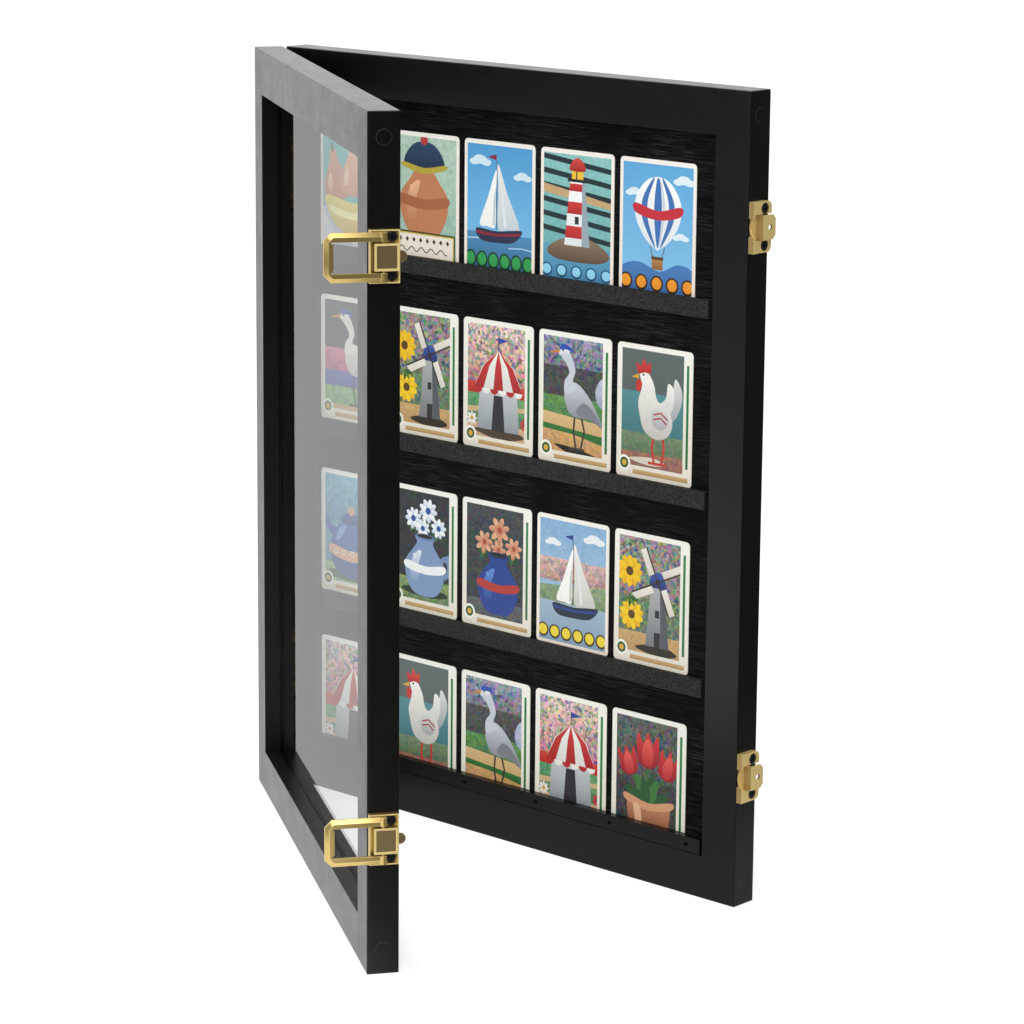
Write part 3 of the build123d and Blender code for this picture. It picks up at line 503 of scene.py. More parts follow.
def polished_brass(name, dark, light, metallic, roughness, relief_depth):
    """Brass with the uneven skin that tumbling leaves."""
    made, tree = material(name)
    place = node(tree, "TexCoord").outputs["Object"]
    skin = node(tree, "TexNoise",
                {"Vector": place, "Scale": 1 / TUMBLE_SIZE, "Detail": 3.0})
    tone = node(tree, "Mix",
                {"Factor": skin, "A": linear(dark), "B": linear(light)},
                data_type="RGBA")
    shine = node(tree, "MapRange",
                 {"Value": skin, "To Min": roughness - SHINE_SPREAD,
                  "To Max": roughness + SHINE_SPREAD})
    relief = node(tree, "Bump",
                  {"Height": skin, "Strength": 0.4, "Distance": relief_depth})
    brass = node(tree, "BsdfPrincipled",
                 {"Base Color": tone, "Metallic": metallic,
                  "Roughness": shine, "Normal": relief})
    node(tree, "OutputMaterial", {"Surface": brass})
    return made


# Pressed sheet is smooth and yellow, castings are paler and grainier. Brass
# that hands can't reach has browned. Rims and broken edges are rubbed bright,
# and their paler brass is partly a painted highlight. The hinge leaves in the
# joint of the two halves and the catches' front faces are painted dark as shade.
pressed_brass = polished_brass("tumbled pressed brass", "#d3b66b", "#dec47e",
                               0.88, 0.3, 0.000001)
cast_brass = polished_brass("tumbled cast brass", "#f2d282", "#fde6a4",
                            0.5, 0.32, 0.000004)
# Pale, less metallic brass on rims and broken edges: rubbed wear, and partly a painted
# highlight.
worn_and_highlight_brass = polished_brass("brass rim, rubbed bright, painted highlight", "#f6da8c", "#ffe9a8",
                              0.4, 0.3, 0.000003)
# Browned brass: patina on the latch housings' panels, and painted shade on the hinge
# leaves' flats.
browned_and_shaded_brass = polished_brass("browned brass, painted shade on hinge leaves", "#94805a", "#ab956a",
                               0.8, 0.36, 0.000003)
# Darker, duller brass for the catches' front faces: painted shade.
shaded_front_brass = polished_brass("brass, painted shade on front faces", "#b3985f", "#c9ae76",
                            0.7, 0.42, 0.00001)

# The latch bases hold the rims of their trays and housings at two heights
# above the door's edge, and the housing's panel and tongue just below those.
LATCH_EDGE = 0.0003
DOOR_EDGE_OUT = Vector((math.cos(DOOR_TURN), -math.sin(DOOR_TURN), 0.0))
DOOR_EDGE = max(v.co.dot(DOOR_EDGE_OUT)
                for v in frame["nodes"]["door_stile_free"].data.vertices)
RIM_LEVELS = (0.0074, 0.004)
BROWNED_LEVELS = (0.0069, 0.0034)
LEVEL_SLACK = 0.00015
FACES_OUT = 0.99


def latch_finish(face):
    """Rims are rubbed bright, partly a painted highlight. The housing's panel and tongue
    are browned.
    """
    if face.normal.dot(DOOR_EDGE_OUT) > FACES_OUT:
        level = face.verts[0].co.dot(DOOR_EDGE_OUT) - DOOR_EDGE
        for number, levels in ((1, RIM_LEVELS), (2, BROWNED_LEVELS)):
            if any(abs(level - near) < LEVEL_SLACK for near in levels):
                return number
    return 0


broken_edges([pressed_brass, worn_and_highlight_brass, browned_and_shaded_brass], "brass", LATCH_EDGE,
             "latch_base_upper", "latch_base_lower", choose=latch_finish)
broken_edges([pressed_brass, worn_and_highlight_brass], "brass", LATCH_EDGE, "bail_upper",
             "bail_lower")

# The flats of the hinge leaves lie in the joint of the two halves. They are
# drawn in the dark browned brass as painted shade of that joint. The knuckles
# stand outside it.
HINGE_EDGE = 0.0002
LEAF_FLAT = 0.0032
HINGE_LINE = sum((Vector(corner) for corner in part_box("hinge_pins")),
                 Vector()) / 2


def leaf_finish(face):
    """The flats start at a distance from the pins' line."""
    across = face.calc_center_median() - HINGE_LINE
    return 2 if math.hypot(across.x, across.y) > LEAF_FLAT else 0


broken_edges([pressed_brass, pressed_brass, browned_and_shaded_brass], "brass",
             HINGE_EDGE, "hinge_case_leaf_upper", "hinge_case_leaf_lower",
             "hinge_door_leaf_upper", "hinge_door_leaf_lower",
             choose=leaf_finish)

# The catches are castings with a polished outside. The faces to the front are
# painted darker and duller, as shade.
CATCH_EDGE = 0.0005
FACES_FRONT = -0.3


def catch_finish(face):
    """A face that looks to the front is painted darker, as shade."""
    return 2 if face.normal.y < FACES_FRONT else 0


broken_edges([cast_brass, worn_and_highlight_brass, shaded_front_brass], "brass", CATCH_EDGE,
             "catch_upper", "catch_lower", choose=catch_finish)
dress(pressed_brass, "bail_pins", "hinge_pins", "hinge_case_screws",
      "hinge_door_screws")

# ------------------------------------------------ steel screws, nails, hangers
# Drawn and pressed steel. The screws of the latches and catches are blackened
# in oxide, the wall hangers are zinc plated, and what the wood hides is bare.
STEEL_SKIN = 0.0006
STEEL_RELIEF = 0.00003


def plain_steel(name, light, dark, metallic, roughness):
    """Steel whose fine skin mixes two greys under an even gloss."""
    made, tree = material(name)
    place = node(tree, "TexCoord").outputs["Object"]
    skin = node(tree, "TexNoise",
                {"Vector": place, "Scale": 1 / STEEL_SKIN, "Detail": 3.0})
    tone = node(tree, "Mix",
                {"Factor": skin, "A": linear(dark), "B": linear(light)},
                data_type="RGBA")
    relief = node(tree, "Bump",
                  {"Height": skin, "Strength": 0.3, "Distance": STEEL_RELIEF})
    steel = node(tree, "BsdfPrincipled",
                 {"Base Color": tone, "Metallic": metallic,
                  "Roughness": roughness, "Normal": relief})
    node(tree, "OutputMaterial", {"Surface": steel})
    return made


black_oxide = plain_steel("black oxide steel", "#43454b", "#1c1d20", 0.7, 0.22)
zinc_plate = plain_steel("zinc plated steel", "#c3c6c9", "#9ea2a6", 1.0, 0.4)
bright_steel = plain_steel("bright drawn steel", "#b5b7ba", "#8e9194", 1.0,
                           0.3)
dress(black_oxide, "latch_screws", "catch_screws")
dress(zinc_plate, "wall_hangers", "hanger_nails")
dress(bright_steel, "case_joint_screws", "door_joint_screws",
      "back_panel_nails")

# --------------------------------------------------------- bottom ledge nails
# Headless nails punched at a slant through the bottom ledge. Each head is
# spread into a flat dark oval, wider than its shank, as painted shade of the
# punched hole.
NAIL_OUT = Vector((0.0, -0.6428, 0.766))
NAIL_COUNT = 6
NAIL_SPREAD = Vector((3.3, 1.25, 1.25))
NAIL_PROUD = 0.00003
LEDGE_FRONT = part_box("bottom_ledge")[0][1] - NAIL_PROUD

# Dark blued steel. Where it is spread wider than the shanks, it is painted shade of the
# punched holes.
punched = plain_steel("blued steel, painted hole shade", "#1c1c1e", "#0b0b0c", 1.0,
                      0.5)
nails = cad_shape("bottom_ledge_nails")
nail_left, nail_right = (corner[0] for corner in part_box("bottom_ledge_nails"))
nail_pitch = (nail_right - nail_left) / (NAIL_COUNT - 1)
for near in range(NAIL_COUNT):
    across = nail_left + near * nail_pitch
    shank = [v for v in nails.verts if abs(v.co.x - across) < nail_pitch / 2]
    centre = sum((v.co for v in shank), Vector()) / len(shank)
    for v in shank:
        depth = (v.co - centre).dot(NAIL_OUT)
        v.co = (centre + (v.co - centre - depth * NAIL_OUT) * NAIL_SPREAD
                + depth * NAIL_OUT)
        if depth > 0:
            v.co += NAIL_OUT * (LEDGE_FRONT - v.co.y) / NAIL_OUT.y
stand_in("bottom_ledge_nails_with_hole_shade",
         drawn_mesh("nails_with_hole_shade", nails, [punched]), "bottom_ledge_nails")

# ---------------------------------------------------------------------- cards
# Coated card, offset printed and cut with round corners. Each is a closed
# sheet whose face is cut into flat areas of ink. The country and still-life
# motifs are drawn in millimetres from the card's lower left corner.
CARD_WIDE = 63.5
CARD_TALL = 88.9
CARD_CORNER = 3.0
PICTURE_WIDE = 64
JOIN_GAP = 1e-4
BLOT_SIZE = 0.0021
SCREEN_SIZE = 0.0006  # A real screen is 0.17 mm, too fine to show.


def oval(x, y, across, up=None, start=0, stop=360, steps=22):
    """Points along an ellipse or a part of one."""
    up = across if up is None else up
    count = steps if stop - start == 360 else steps + 1
    angles = [math.radians(start + (stop - start) * i / steps)
              for i in range(count)]
    return [(x + across * math.cos(a), y + up * math.sin(a)) for a in angles]


def block(left, low, right, high):
    """The corners of an upright rectangle."""
    return [(left, low), (right, low), (right, high), (left, high)]


def flow(*points, steps=4):
    """A smooth closed outline through a few points."""
    line = []
    for i, start in enumerate(points):
        before, after = points[i - 1], points[(i + 1) % len(points)]
        beyond = points[(i + 2) % len(points)]
        for s in range(steps):
            t = s / steps
            line.append(tuple(
                0.5 * (2 * b + (c - a) * t
                       + (2 * a - 5 * b + 4 * c - d) * t ** 2
                       + (3 * b - a - 3 * c + d) * t ** 3)
                for a, b, c, d in zip(before, start, after, beyond)))
    return line


def stroke(width, *points):
    """A brush stroke of one width along a line."""
    left, right = [], []
    for i, (x, y) in enumerate(points):
        x0, y0 = points[max(i - 1, 0)]
        x1, y1 = points[min(i + 1, len(points) - 1)]
        run = math.hypot(x1 - x0, y1 - y0)
        across = (-(y1 - y0) / run * width / 2, (x1 - x0) / run * width / 2)
        left.append((x + across[0], y + across[1]))
        right.append((x - across[0], y - across[1]))
    return left + right[::-1]


def ink(points, low, high=None, blots=0.0):
    """An area of ink that fades from the colour at its foot to its top's."""
    turning = sum(a[0] * b[1] - b[0] * a[1]
                  for a, b in zip(points, points[1:] + points[:1]))
    return points if turning > 0 else points[::-1], low, high or low, blots


def band(low, high, *colours):
    """Ink in a level band over the whole width."""
    return ink(block(0, low, PICTURE_WIDE, high), *colours)


def placed(areas, x, y, size=1.0, turn=0.0):
    """Areas of ink scaled and turned about zero, then shifted."""
    cos, sin = math.cos(math.radians(turn)), math.sin(math.radians(turn))
    return [([(x + size * (px * cos - py * sin),
               y + size * (px * sin + py * cos)) for px, py in points], *rest)
            for points, *rest in areas]


def bloom(x, y, radius, petal, shade, heart, petals=8, turn=0.0):
    """A round flower of separate petals."""
    leaf = oval(0.62, 0, 0.42, 0.24, steps=10)
    areas = []
    for i in range(petals):
        areas += placed([ink(leaf, petal if i % 2 else shade, petal)], x, y,
                        radius, turn + 360 * i / petals)
    return areas + [ink(oval(x, y, radius * 0.3, steps=12), heart)]


def leaf_spray(x, y, size, turn, colour, light):
    """Three leaves from one point."""
    blade = flow((0, 0), (0.35, 0.22), (1, 0), (0.35, -0.22))
    return [leaf for a, c in ((-38, colour), (0, light), (38, colour))
            for leaf in placed([ink(blade, c)], x, y, size, turn + a)]


def beads(y, radius, count, colour, edge, squash=1.0):
    """A row of outlined discs."""
    left, right = 6.0, 57.5
    places = [left + (right - left) * i / (count - 1) for i in range(count)]
    return ([ink(oval(x, y, radius, radius * squash, steps=16), edge)
             for x in places]
            + [ink(oval(x, y + 0.2, radius * 0.74, radius * 0.74 * squash,
                        steps=16), colour) for x in places])


def clouds(colour, *places):
    """Clouds of three puffs each."""
    return [ink(oval(x + dx * size, y + dy * size, r * size * 1.2,
                     r * size * 0.62, steps=14), colour)
            for x, y, size in places
            for dx, dy, r in ((-1.1, 0, 0.8), (0, 0.35, 1.1), (1.2, 0, 0.85))]


def boat(x, y, size, hull, stripe, sail, shade):
    """A sloop seen from the side, with its bow to the right."""
    return placed([
        ink([(-1.0, 5.2), (-0.4, 5.2), (-0.4, 52.0), (-1.0, 52.0)], "#4b3a2c"),
        ink(flow((0.6, 7.0), (0.8, 30.0), (0.2, 50.0), (9.0, 30.0),
                 (20.0, 8.0), (10.0, 6.4)), shade, sail),
        ink(flow((-1.8, 8.0), (-1.6, 28.0), (-1.2, 46.0), (-9.0, 26.0),
                 (-16.0, 9.0), (-9.0, 7.2)), sail, "#ffffff"),
        ink([(-4.2, 8.4), (-1.9, 8.4), (-1.8, 34.0), (-3.6, 26.0)], shade),
        ink([(6.0, 7.6), (8.4, 7.6), (5.0, 30.0), (2.8, 36.0)], "#e2e6ea"),
        ink([(-1.0, 52.0), (-1.0, 56.0), (-9.0, 54.0)], stripe),
        ink(flow((-19.0, 5.4), (0.0, 4.6), (22.0, 6.8), (15.0, -1.6),
                 (0.0, -3.2), (-15.0, -2.4)), hull),
        ink(flow((-18.0, 3.6), (0.0, 2.8), (19.6, 4.8), (18.4, 3.0),
                 (0.0, 1.2), (-17.2, 1.8)), stripe)], x, y, size)


def wader(x, y, size, feather, shade, cap, beak, leg):
    """A long-legged bird that stands and looks to the left."""
    return placed([
        ink(stroke(1.5, (1, 22), (0, 11), (2, 0)), leg),
        ink(stroke(1.5, (6, 22), (9, 12), (6, 0)), leg),
        ink(block(-4, -1.2, 4, 0.6), leg),
        ink(block(2, -1.2, 9, 0.6), leg),
        ink(flow((-6, 26), (-8, 34), (-2, 42), (6, 40), (16, 30), (24, 16),
                 (14, 20), (6, 20), (-2, 21)), shade, feather),
        ink(flow((2, 24), (8, 30), (16, 26), (22, 17), (14, 20), (6, 21)),
            shade),
        ink(flow((-7, 34), (-8, 42), (-4, 48), (-7, 54), (-11, 58), (-9, 62),
                 (-4, 61), (-1, 56), (1, 49), (-1, 43), (3, 39)), feather),
        ink(flow((-13, 59), (-12, 64), (-7, 65), (-4, 61), (-8, 58)), feather,
            "#ffffff"),
        ink(flow((-12.5, 62), (-10, 65.6), (-4, 64.6), (0, 61), (-6, 62.4)),
            cap),
        ink([(-12, 62.4), (-12.4, 59.8), (-23, 58.6)], beak),
        ink(oval(-9.4, 61.6, 0.7, steps=10), "#15130f")], x, y, size)


def pot(x, y, size, glaze, light, stripe, rim):
    """A round-bellied pot with a stripe round its shoulder."""
    return placed([
        ink(flow((-9, 0), (-17, 10), (-18, 22), (-11, 31), (-7.4, 36),
                 (-8.4, 41), (8.4, 41), (7.4, 36), (11, 31), (18, 22),
                 (17, 10), (9, 0)), glaze),
        ink(flow((-12, 9), (-13.4, 20), (-8, 29), (-3, 30), (-6, 20),
                 (-6, 9)), glaze, light),
        ink(flow((-17.6, 17), (0, 14.4), (17.6, 17), (17.6, 22.4), (0, 20),
                 (-17.6, 22.4)), stripe),
        ink(flow((-10.6, 24.6), (-11, 27.4), (-8.6, 27.6), (-8.4, 25)), light),
        ink(oval(0, 40.4, 9.2, 2.2, steps=18), rim),
        ink(oval(0, 40.8, 7.2, 1.3, steps=18), "#1b1916")], x, y, size)


def pears():
    fruit = flow((-8, 0), (-12, 9), (-8, 19), (-4, 27), (-2.6, 34), (2.6, 34),
                 (4, 27), (8, 19), (12, 9), (8, 0))
    shine = flow((-7.4, 6), (-8, 12), (-4.6, 19), (-3.4, 13), (-4, 7))
    areas = [
        band(0, 30, "#c9ccd6", "#e7e6e2"),
        ink([(0, 30), (18, 30), (34, 0), (24, 0)], "#aab4c9", "#c3cad6"),
        ink([(40, 30), (50, 30), (64, 8), (64, 0), (56, 0)], "#b7bed0")]
    for x, y, turn, low, high in ((17, 36, 9, "#c77c5a", "#e0a283"),
                                  (47, 36, -8, "#c9805f", "#e6b08c"),
                                  (31, 40, 0, "#d58d69", "#f0bf9c")):
        areas += placed([ink(fruit, low, high), ink(shine, high, "#f8dcc4"),
                         ink(block(-0.8, 33, 0.8, 39), "#4a3524")], x, y, 1.0,
                        turn)
    areas += [
        ink(flow((5, 38), (32, 34), (59, 38), (52, 20), (40, 13), (24, 13),
                 (12, 20)), "#c9a92f", "#f0df63"),
        ink(flow((10, 31), (32, 27), (54, 31), (52, 26), (32, 22.4), (12, 26)),
            "#fbf3a6"),
        ink(block(22, 9, 42, 13.4), "#b3932a")]
    return "early", "#56adae", "#6fc0bd", 0.0, areas


def covered_urn():
    areas = pot(31, 19, 1.22, "#c07d56", "#eab48c", "#a8633f", "#8d5233")
    areas += [
        ink(flow((13, 66), (15, 75), (24, 82), (38, 82), (47, 75), (49, 66),
                 (31, 63)), "#15283f", "#28486a"),
        ink(flow((11, 65), (31, 61), (51, 65), (50, 68), (31, 65), (12, 68)),
            "#b6a338"),
        ink(oval(31, 84, 3.4), "#b7383a"),
        ink(block(2, 2, 60, 21), "#2a2616"),
        ink(block(3, 3, 59, 20), "#c3ae3c"),
        ink(block(4, 4, 58, 19), "#eee5d8")]
    for i in range(8):
        areas += placed([ink([(-1.6, 0), (0, -1.8), (1.6, 0), (0, 1.8)],
                             "#3a3330")], 9 + i * 6.3, 15.2)
    wave = [(8 + i * 1.6, 8.6 + 1.7 * math.sin(i * 1.1)) for i in range(29)]
    areas.append(ink(stroke(0.8, *wave), "#3a3330"))
    return "early", "#8fb5a3", "#b3cfbe", 0.15, areas


def summer_sloop():
    areas = clouds("#d6ecf8", (14, 74, 4.6), (52, 66, 3.8))
    areas += [
        band(0, 27, "#2c5f8c", "#4b8bb8"),
        ink(stroke(1.1, (3, 22), (16, 23), (26, 22)), "#9cc8e4"),
        ink(stroke(0.9, (40, 18), (52, 19), (62, 18)), "#9cc8e4")]
    areas += boat(30, 24, 1.0, "#2b2f4a", "#8c2338", "#eef0ef", "#c5cfd6")
    areas += beads(8.4, 5.2, 6, "#2f9d52", "#123d20", squash=1.15)
    return "early", "#7cc0ea", "#4f9fd8", 0.0, areas


def striped_lighthouse():
    areas = []
    for i in range(6):
        y = 30 + i * 9.4
        areas.append(ink([(0, y + 5), (64, y - 2), (64, y + 1.4),
                          (0, y + 8.6)], "#20343a"))
    areas += [
        ink([(0, 60), (64, 52), (64, 56), (0, 66)], "#c9a77a"),
        band(0, 26, "#3f7fa6", "#5ba0c2"),
        ink(flow((6, 22), (20, 30), (44, 31), (60, 22), (50, 16), (16, 16)),
            "#5b4a3c", "#8c7660")]
    tower = ((21, 26), (43, 26), (38.4, 68), (25.6, 68))
    areas.append(ink(list(tower), "#dfe5e8", "#ffffff"))
    for low, high in ((31, 39), (47, 55), (62, 67)):
        widths = [11 - (v - 26) * 0.11 for v in (low, high)]
        areas.append(ink([(32 - widths[0], low), (32 + widths[0], low),
                          (32 + widths[1], high), (32 - widths[1], high)],
                         "#b3242a", "#d23a36"))
    areas += [
        ink([(36, 26), (43, 26), (38.4, 68), (36, 68)], "#9aa9b4"),
        ink(block(23.6, 68, 40.4, 70), "#24282c"),
        ink(block(27, 70, 37, 76.4), "#f1c53b"),
        ink(block(30.6, 70, 31.6, 76.4), "#24282c"),
        ink(flow((25, 76), (27, 81), (32, 84), (37, 81), (39, 76), (32, 75)),
            "#a51f27", "#dc4a43"),
        ink(block(30, 40.4, 33.4, 45.4), "#2a2f36")]
    areas += beads(8.6, 5.0, 5, "#8ed0ee", "#1c4f74", squash=0.9)
    return "early", "#5fa9ad", "#8cc7c4", 0.1, areas


def fair_balloon():
    areas = clouds("#dff1fb", (12, 66, 3.6), (53, 76, 4.2), (51, 40, 3.2))
    bag = flow((31, 31), (22, 37), (14, 49), (13, 62), (21, 74), (32, 78),
               (43, 74), (51, 62), (50, 49), (42, 37), (33, 31))
    areas.append(ink(bag, "#dfe7ee", "#ffffff"))
    for a, b, colour in ((-13, -8.4, "#3f74b8"), (-3, 3, "#3f74b8"),
                         (8.4, 13, "#3f74b8"), (3.6, 5.4, "#c9d6e2")):
        areas.append(ink(flow((32 + a * 0.3, 34), (32 + a, 50), (32 + a, 63),
                              (32 + a * 0.4, 76), (32 + b * 0.4, 76),
                              (32 + b, 63), (32 + b, 50), (32 + b * 0.3, 34)),
                         colour))
    areas += [
        ink(flow((12.8, 60), (32, 56), (51.2, 60), (50.6, 53.6), (32, 50),
                 (13.4, 53.6)), "#c92f3c"),
        ink(stroke(0.6, (26, 33), (28.4, 25)), "#5b4630"),
        ink(stroke(0.6, (38, 33), (35.6, 25)), "#5b4630"),
        ink(block(27.4, 18, 36.6, 25.6), "#8a5f33", "#c08d52"),
        ink(block(27, 24.4, 37, 26.4), "#5f4024"),
        ink(flow((0, 16), (16, 22), (34, 17), (50, 23), (64, 17), (64, -4),
                 (0, -4)), "#2f5c9e", "#4a7fbd")]
    areas += beads(8.8, 5.4, 5, "#f09a26", "#3b2410")
    return "early", "#86c4ec", "#5fabdf", 0.0, areas


def spring_sloop():
    areas = [
        band(44, 60, "#b58a86", "#cfa9a4", 0.5),
        band(0, 30, "#7f99b4", "#9fb6ca"),
        ink([(0, 30), (64, 30), (64, 46), (0, 40)], "#6c8a5c", "#8aa478", 0.3)]
    areas += clouds("#e9eef3", (50, 76, 4.4), (14, 70, 3.4))
    areas += boat(33, 24, 0.96, "#20293f", "#27408c", "#f3f2ee", "#c9c9c4")
    areas += beads(9, 5.0, 6, "#ecd23a", "#45340c")
    return "early", "#a9c3da", "#86b0d6", 0.1, areas


def white_wader():
    areas = [
        band(34, 52, "#b84f6e", "#d9809a", 0.25),
        band(24, 36, "#3d4c97", "#5b6ab4"),
        ink(block(40, 44, 64, 66), "#4f86c4", "#7fb0de", 0.4),
        band(0, 25, "#4d8a48", "#79ae66", 0.35),
        band(0, 12, "#b98d68", "#c9a27c")]
    areas += wader(32, 13, 1.02, "#e9e6df", "#b9b7b4", "#3766b4", "#d8a13c",
                   "#2b2a2c")
    return "later", "#3c3f40", "#56595a", 0.0, areas


def sunflower_mill():
    areas = [
        band(44, 86, "#5a5f4d", "#7c7764", 0.9),
        band(20, 46, "#3c5f2f", "#4f7436", 0.5),
        band(0, 22, "#a97f4a", "#c8a469", 0.15),
        ink(flow((18, 12), (40, 16), (54, 11), (38, 8)), "#2b2419"),
        ink([(27, 14), (47, 14), (42.4, 56), (31.6, 56)], "#74777d",
            "#b2b4b6"),
        ink([(40, 14), (47, 14), (42.4, 56), (39, 56)], "#54575e"),
        ink(flow((30, 55), (32, 62), (37, 65), (42, 62), (44, 55), (37, 54)),
            "#1d3170", "#3556ae"),
        ink(block(34.4, 14, 39.6, 24), "#2b2b2d"),
        ink(block(35, 34, 38.6, 39), "#26282c")]
    for turn in (24, 114, 204, 294):
        areas += placed([ink(block(0, -0.6, 24, 0.6), "#3a2f27"),
                         ink(block(6, 0.6, 24, 5.4), "#d8d3c8", "#eeeae0")],
                        37, 58, 1.0, turn)
    areas.append(ink(oval(37, 58, 1.8), "#2a2320"))
    areas += bloom(13, 62, 10.5, "#f4c618", "#e2a912", "#5b3d17", 12)
    areas += bloom(15, 33, 10.0, "#f6cd20", "#e0a614", "#5b3d17", 12, 14)
    areas += leaf_spray(14, 45, 7.4, -60, "#2f5a26", "#4f8336")
    return "later", "#4b4f42", "#6a6857", 0.6, areas


def market_tent():
    areas = [
        band(44, 86, "#b44a44", "#d8c2b4", 1.0),
        band(38, 46, "#b3271f", "#cf4332"),
        band(18, 38, "#2f7442", "#4d9a58", 0.3),
        ink([(0, 24), (64, 30), (64, 33), (0, 28)], "#c9ad84"),
        band(0, 18, "#b9936a", "#cfae85", 0.15),
        ink(flow((10, 13), (34, 17), (56, 12), (34, 8)), "#4a3a2b"),
        ink([(13, 14), (51, 14), (49, 42), (15, 42)], "#8f959c", "#c3c8cc"),
        ink([(26, 14), (38, 14), (36, 38), (28, 38)], "#2e2c33")]
    roof = [(10, 42), (18, 58), (32, 69), (46, 58), (54, 42)]
    areas.append(ink(roof, "#dcdcd8", "#f6f4ee"))
    for a, b in ((-22, -13.5), (-4.5, 4.5), (13.5, 22)):
        areas.append(ink([(32 + a, 42), (32 + b, 42), (32 + b * 0.6, 58),
                          (32, 69), (32 + a * 0.6, 58)], "#a92226", "#d0383a"))
    for i in range(6):
        x = 13.7 + i * 7.3
        areas.append(ink(oval(x, 42, 3.66, 3.6, 180, 360, 8), "#ece9e2" if
                         i % 2 else "#b4282a"))
    areas += [
        ink(stroke(0.8, (32, 69), (32, 78)), "#43362a"),
        ink([(32, 78), (32, 73.4), (41, 76.4)], "#27489c")]
    areas += bloom(8, 20, 4.6, "#efe9e4", "#d9ccc9", "#c99b2c", 8)
    areas += bloom(56, 21, 4.2, "#c7363a", "#a3262c", "#2b2320", 8, 20)
    return "later", "#a9473f", "#cdb8ab", 1.0, areas


def grey_wader():
    areas = [
        band(66, 86, "#3d4358", "#7b84a3", 0.8),
        band(26, 46, "#2e6a2b", "#4f8f3d", 0.25),
        ink([(0, 27), (64, 21), (64, 30), (0, 35)], "#c9a672", "#d8b784"),
        ink([(0, 18), (64, 12), (64, 22), (0, 27)], "#23602c", "#2f7436"),
        ink(flow((-8, 20), (20, 22), (44, 19), (72, 12), (72, -6), (-8, -6)),
            "#a8743a", "#cf9f5f", 0.25),
        ink(flow((14, 13), (34, 12), (52, 8), (32, 7)), "#17130d")]
    areas += wader(31, 12, 1.05, "#c9ced8", "#7d8088", "#2750b4", "#c9853c",
                   "#3a3330")
    areas.append(ink(flow((52, 44), (50, 54), (56, 62), (64, 58), (64, 40)),
                     "#8d98b4", "#c3cbe0", 0.2))
    return "later", "#262a26", "#3b4040", 0.2, areas


def white_rooster():
    areas = [
        band(30, 58, "#42777f", "#558d94"),
        band(17, 31, "#4f6c48", "#6c8662", 0.2),
        band(0, 18, "#7d4b3c", "#9c6651", 0.2),
        ink(flow((10, 13), (30, 15.4), (42, 12), (28, 10)), "#d8cdbf")]
    areas += placed([
        ink(stroke(1.9, (1, 32), (-1, 22), (1, 12)), "#c2392f"),
        ink(stroke(1.9, (8, 32), (9, 22), (7, 12)), "#c2392f"),
        ink(block(-4, 11, 4, 12.8), "#c2392f"),
        ink(block(4, 11, 11, 12.8), "#c2392f"),
        ink(flow((12, 40), (20, 46), (24, 60), (18, 70), (15, 58), (8, 52)),
            "#9aa0a6", "#dfe0df"),
        ink(flow((10, 42), (16, 50), (17, 62), (12, 66), (10, 56), (4, 50)),
            "#c9cbcc", "#f5f3ee"),
        ink(flow((-12, 44), (-13, 52), (-10, 62), (-12, 70), (-6, 72),
                 (0, 64), (3, 54), (12, 49), (16, 40), (12, 31), (2, 28),
                 (-8, 33)), "#c3c0bb", "#faf8f3"),
        ink(flow((-2, 46), (6, 49), (13, 42), (8, 35), (0, 37)), "#a9abb0",
            "#d9d9d8"),
        ink(stroke(1.1, (0, 44), (6, 46), (12, 42)), "#a8323a"),
        ink(stroke(1.1, (0, 41), (6, 42.6), (11, 39)), "#a8323a"),
        ink(flow((-13, 70), (-15, 77), (-11, 75), (-9, 80), (-6, 76),
                 (-3, 78), (-3, 71), (-8, 71)), "#b3262a", "#dd4338"),
        ink(flow((-14, 66), (-15, 60), (-12, 58), (-10, 64)), "#c9322f"),
        ink([(-12.6, 70), (-13, 66.4), (-19, 67)], "#dba53a"),
        ink(oval(-8.8, 69.4, 0.8, steps=10), "#1b1714")], 31, 0)
    return "later", "#4b5656", "#5f6a69", 0.0, areas


def blue_teapot():
    areas = [
        band(50, 86, "#3f8fb4", "#6fb7cf", 0.3),
        band(0, 22, "#6f9c68", "#8fb983", 0.3),
        ink(oval(30, 14, 25, 4), "#345a34"),
        ink(flow((46, 42), (56, 48), (60, 36), (52, 24), (45, 24), (53, 33),
                 (53, 41), (46, 36)), "#22448f"),
        ink(flow((14, 40), (6, 46), (1, 56), (4, 58), (9, 50), (17, 46)),
            "#2a4f9f", "#4c78c6"),
        ink(flow((14, 18), (9, 32), (14, 46), (24, 54), (37, 54), (47, 46),
                 (51, 32), (46, 18), (30, 12)), "#1d3d86", "#3f6fc0"),
        ink(flow((10, 28), (30, 24), (50, 28), (50, 35), (30, 31.6), (10, 35)),
            "#e0aa86"),
        ink(flow((15, 38), (18, 47), (25, 50), (21, 42)), "#7fa6de"),
        ink(flow((20, 53), (24, 58.6), (36, 58.6), (41, 53), (30, 50.6)),
            "#17326f", "#3260b0"),
        ink(oval(30, 61, 3.4), "#d9a37d")]
    for i in range(5):
        areas += bloom(14.6 + i * 8, 30, 2.6, "#f3ead8", "#e2d2b8",
                       "#b8452f", 6)
    return "later", "#3f86a8", "#7fc0d4", 0.2, areas


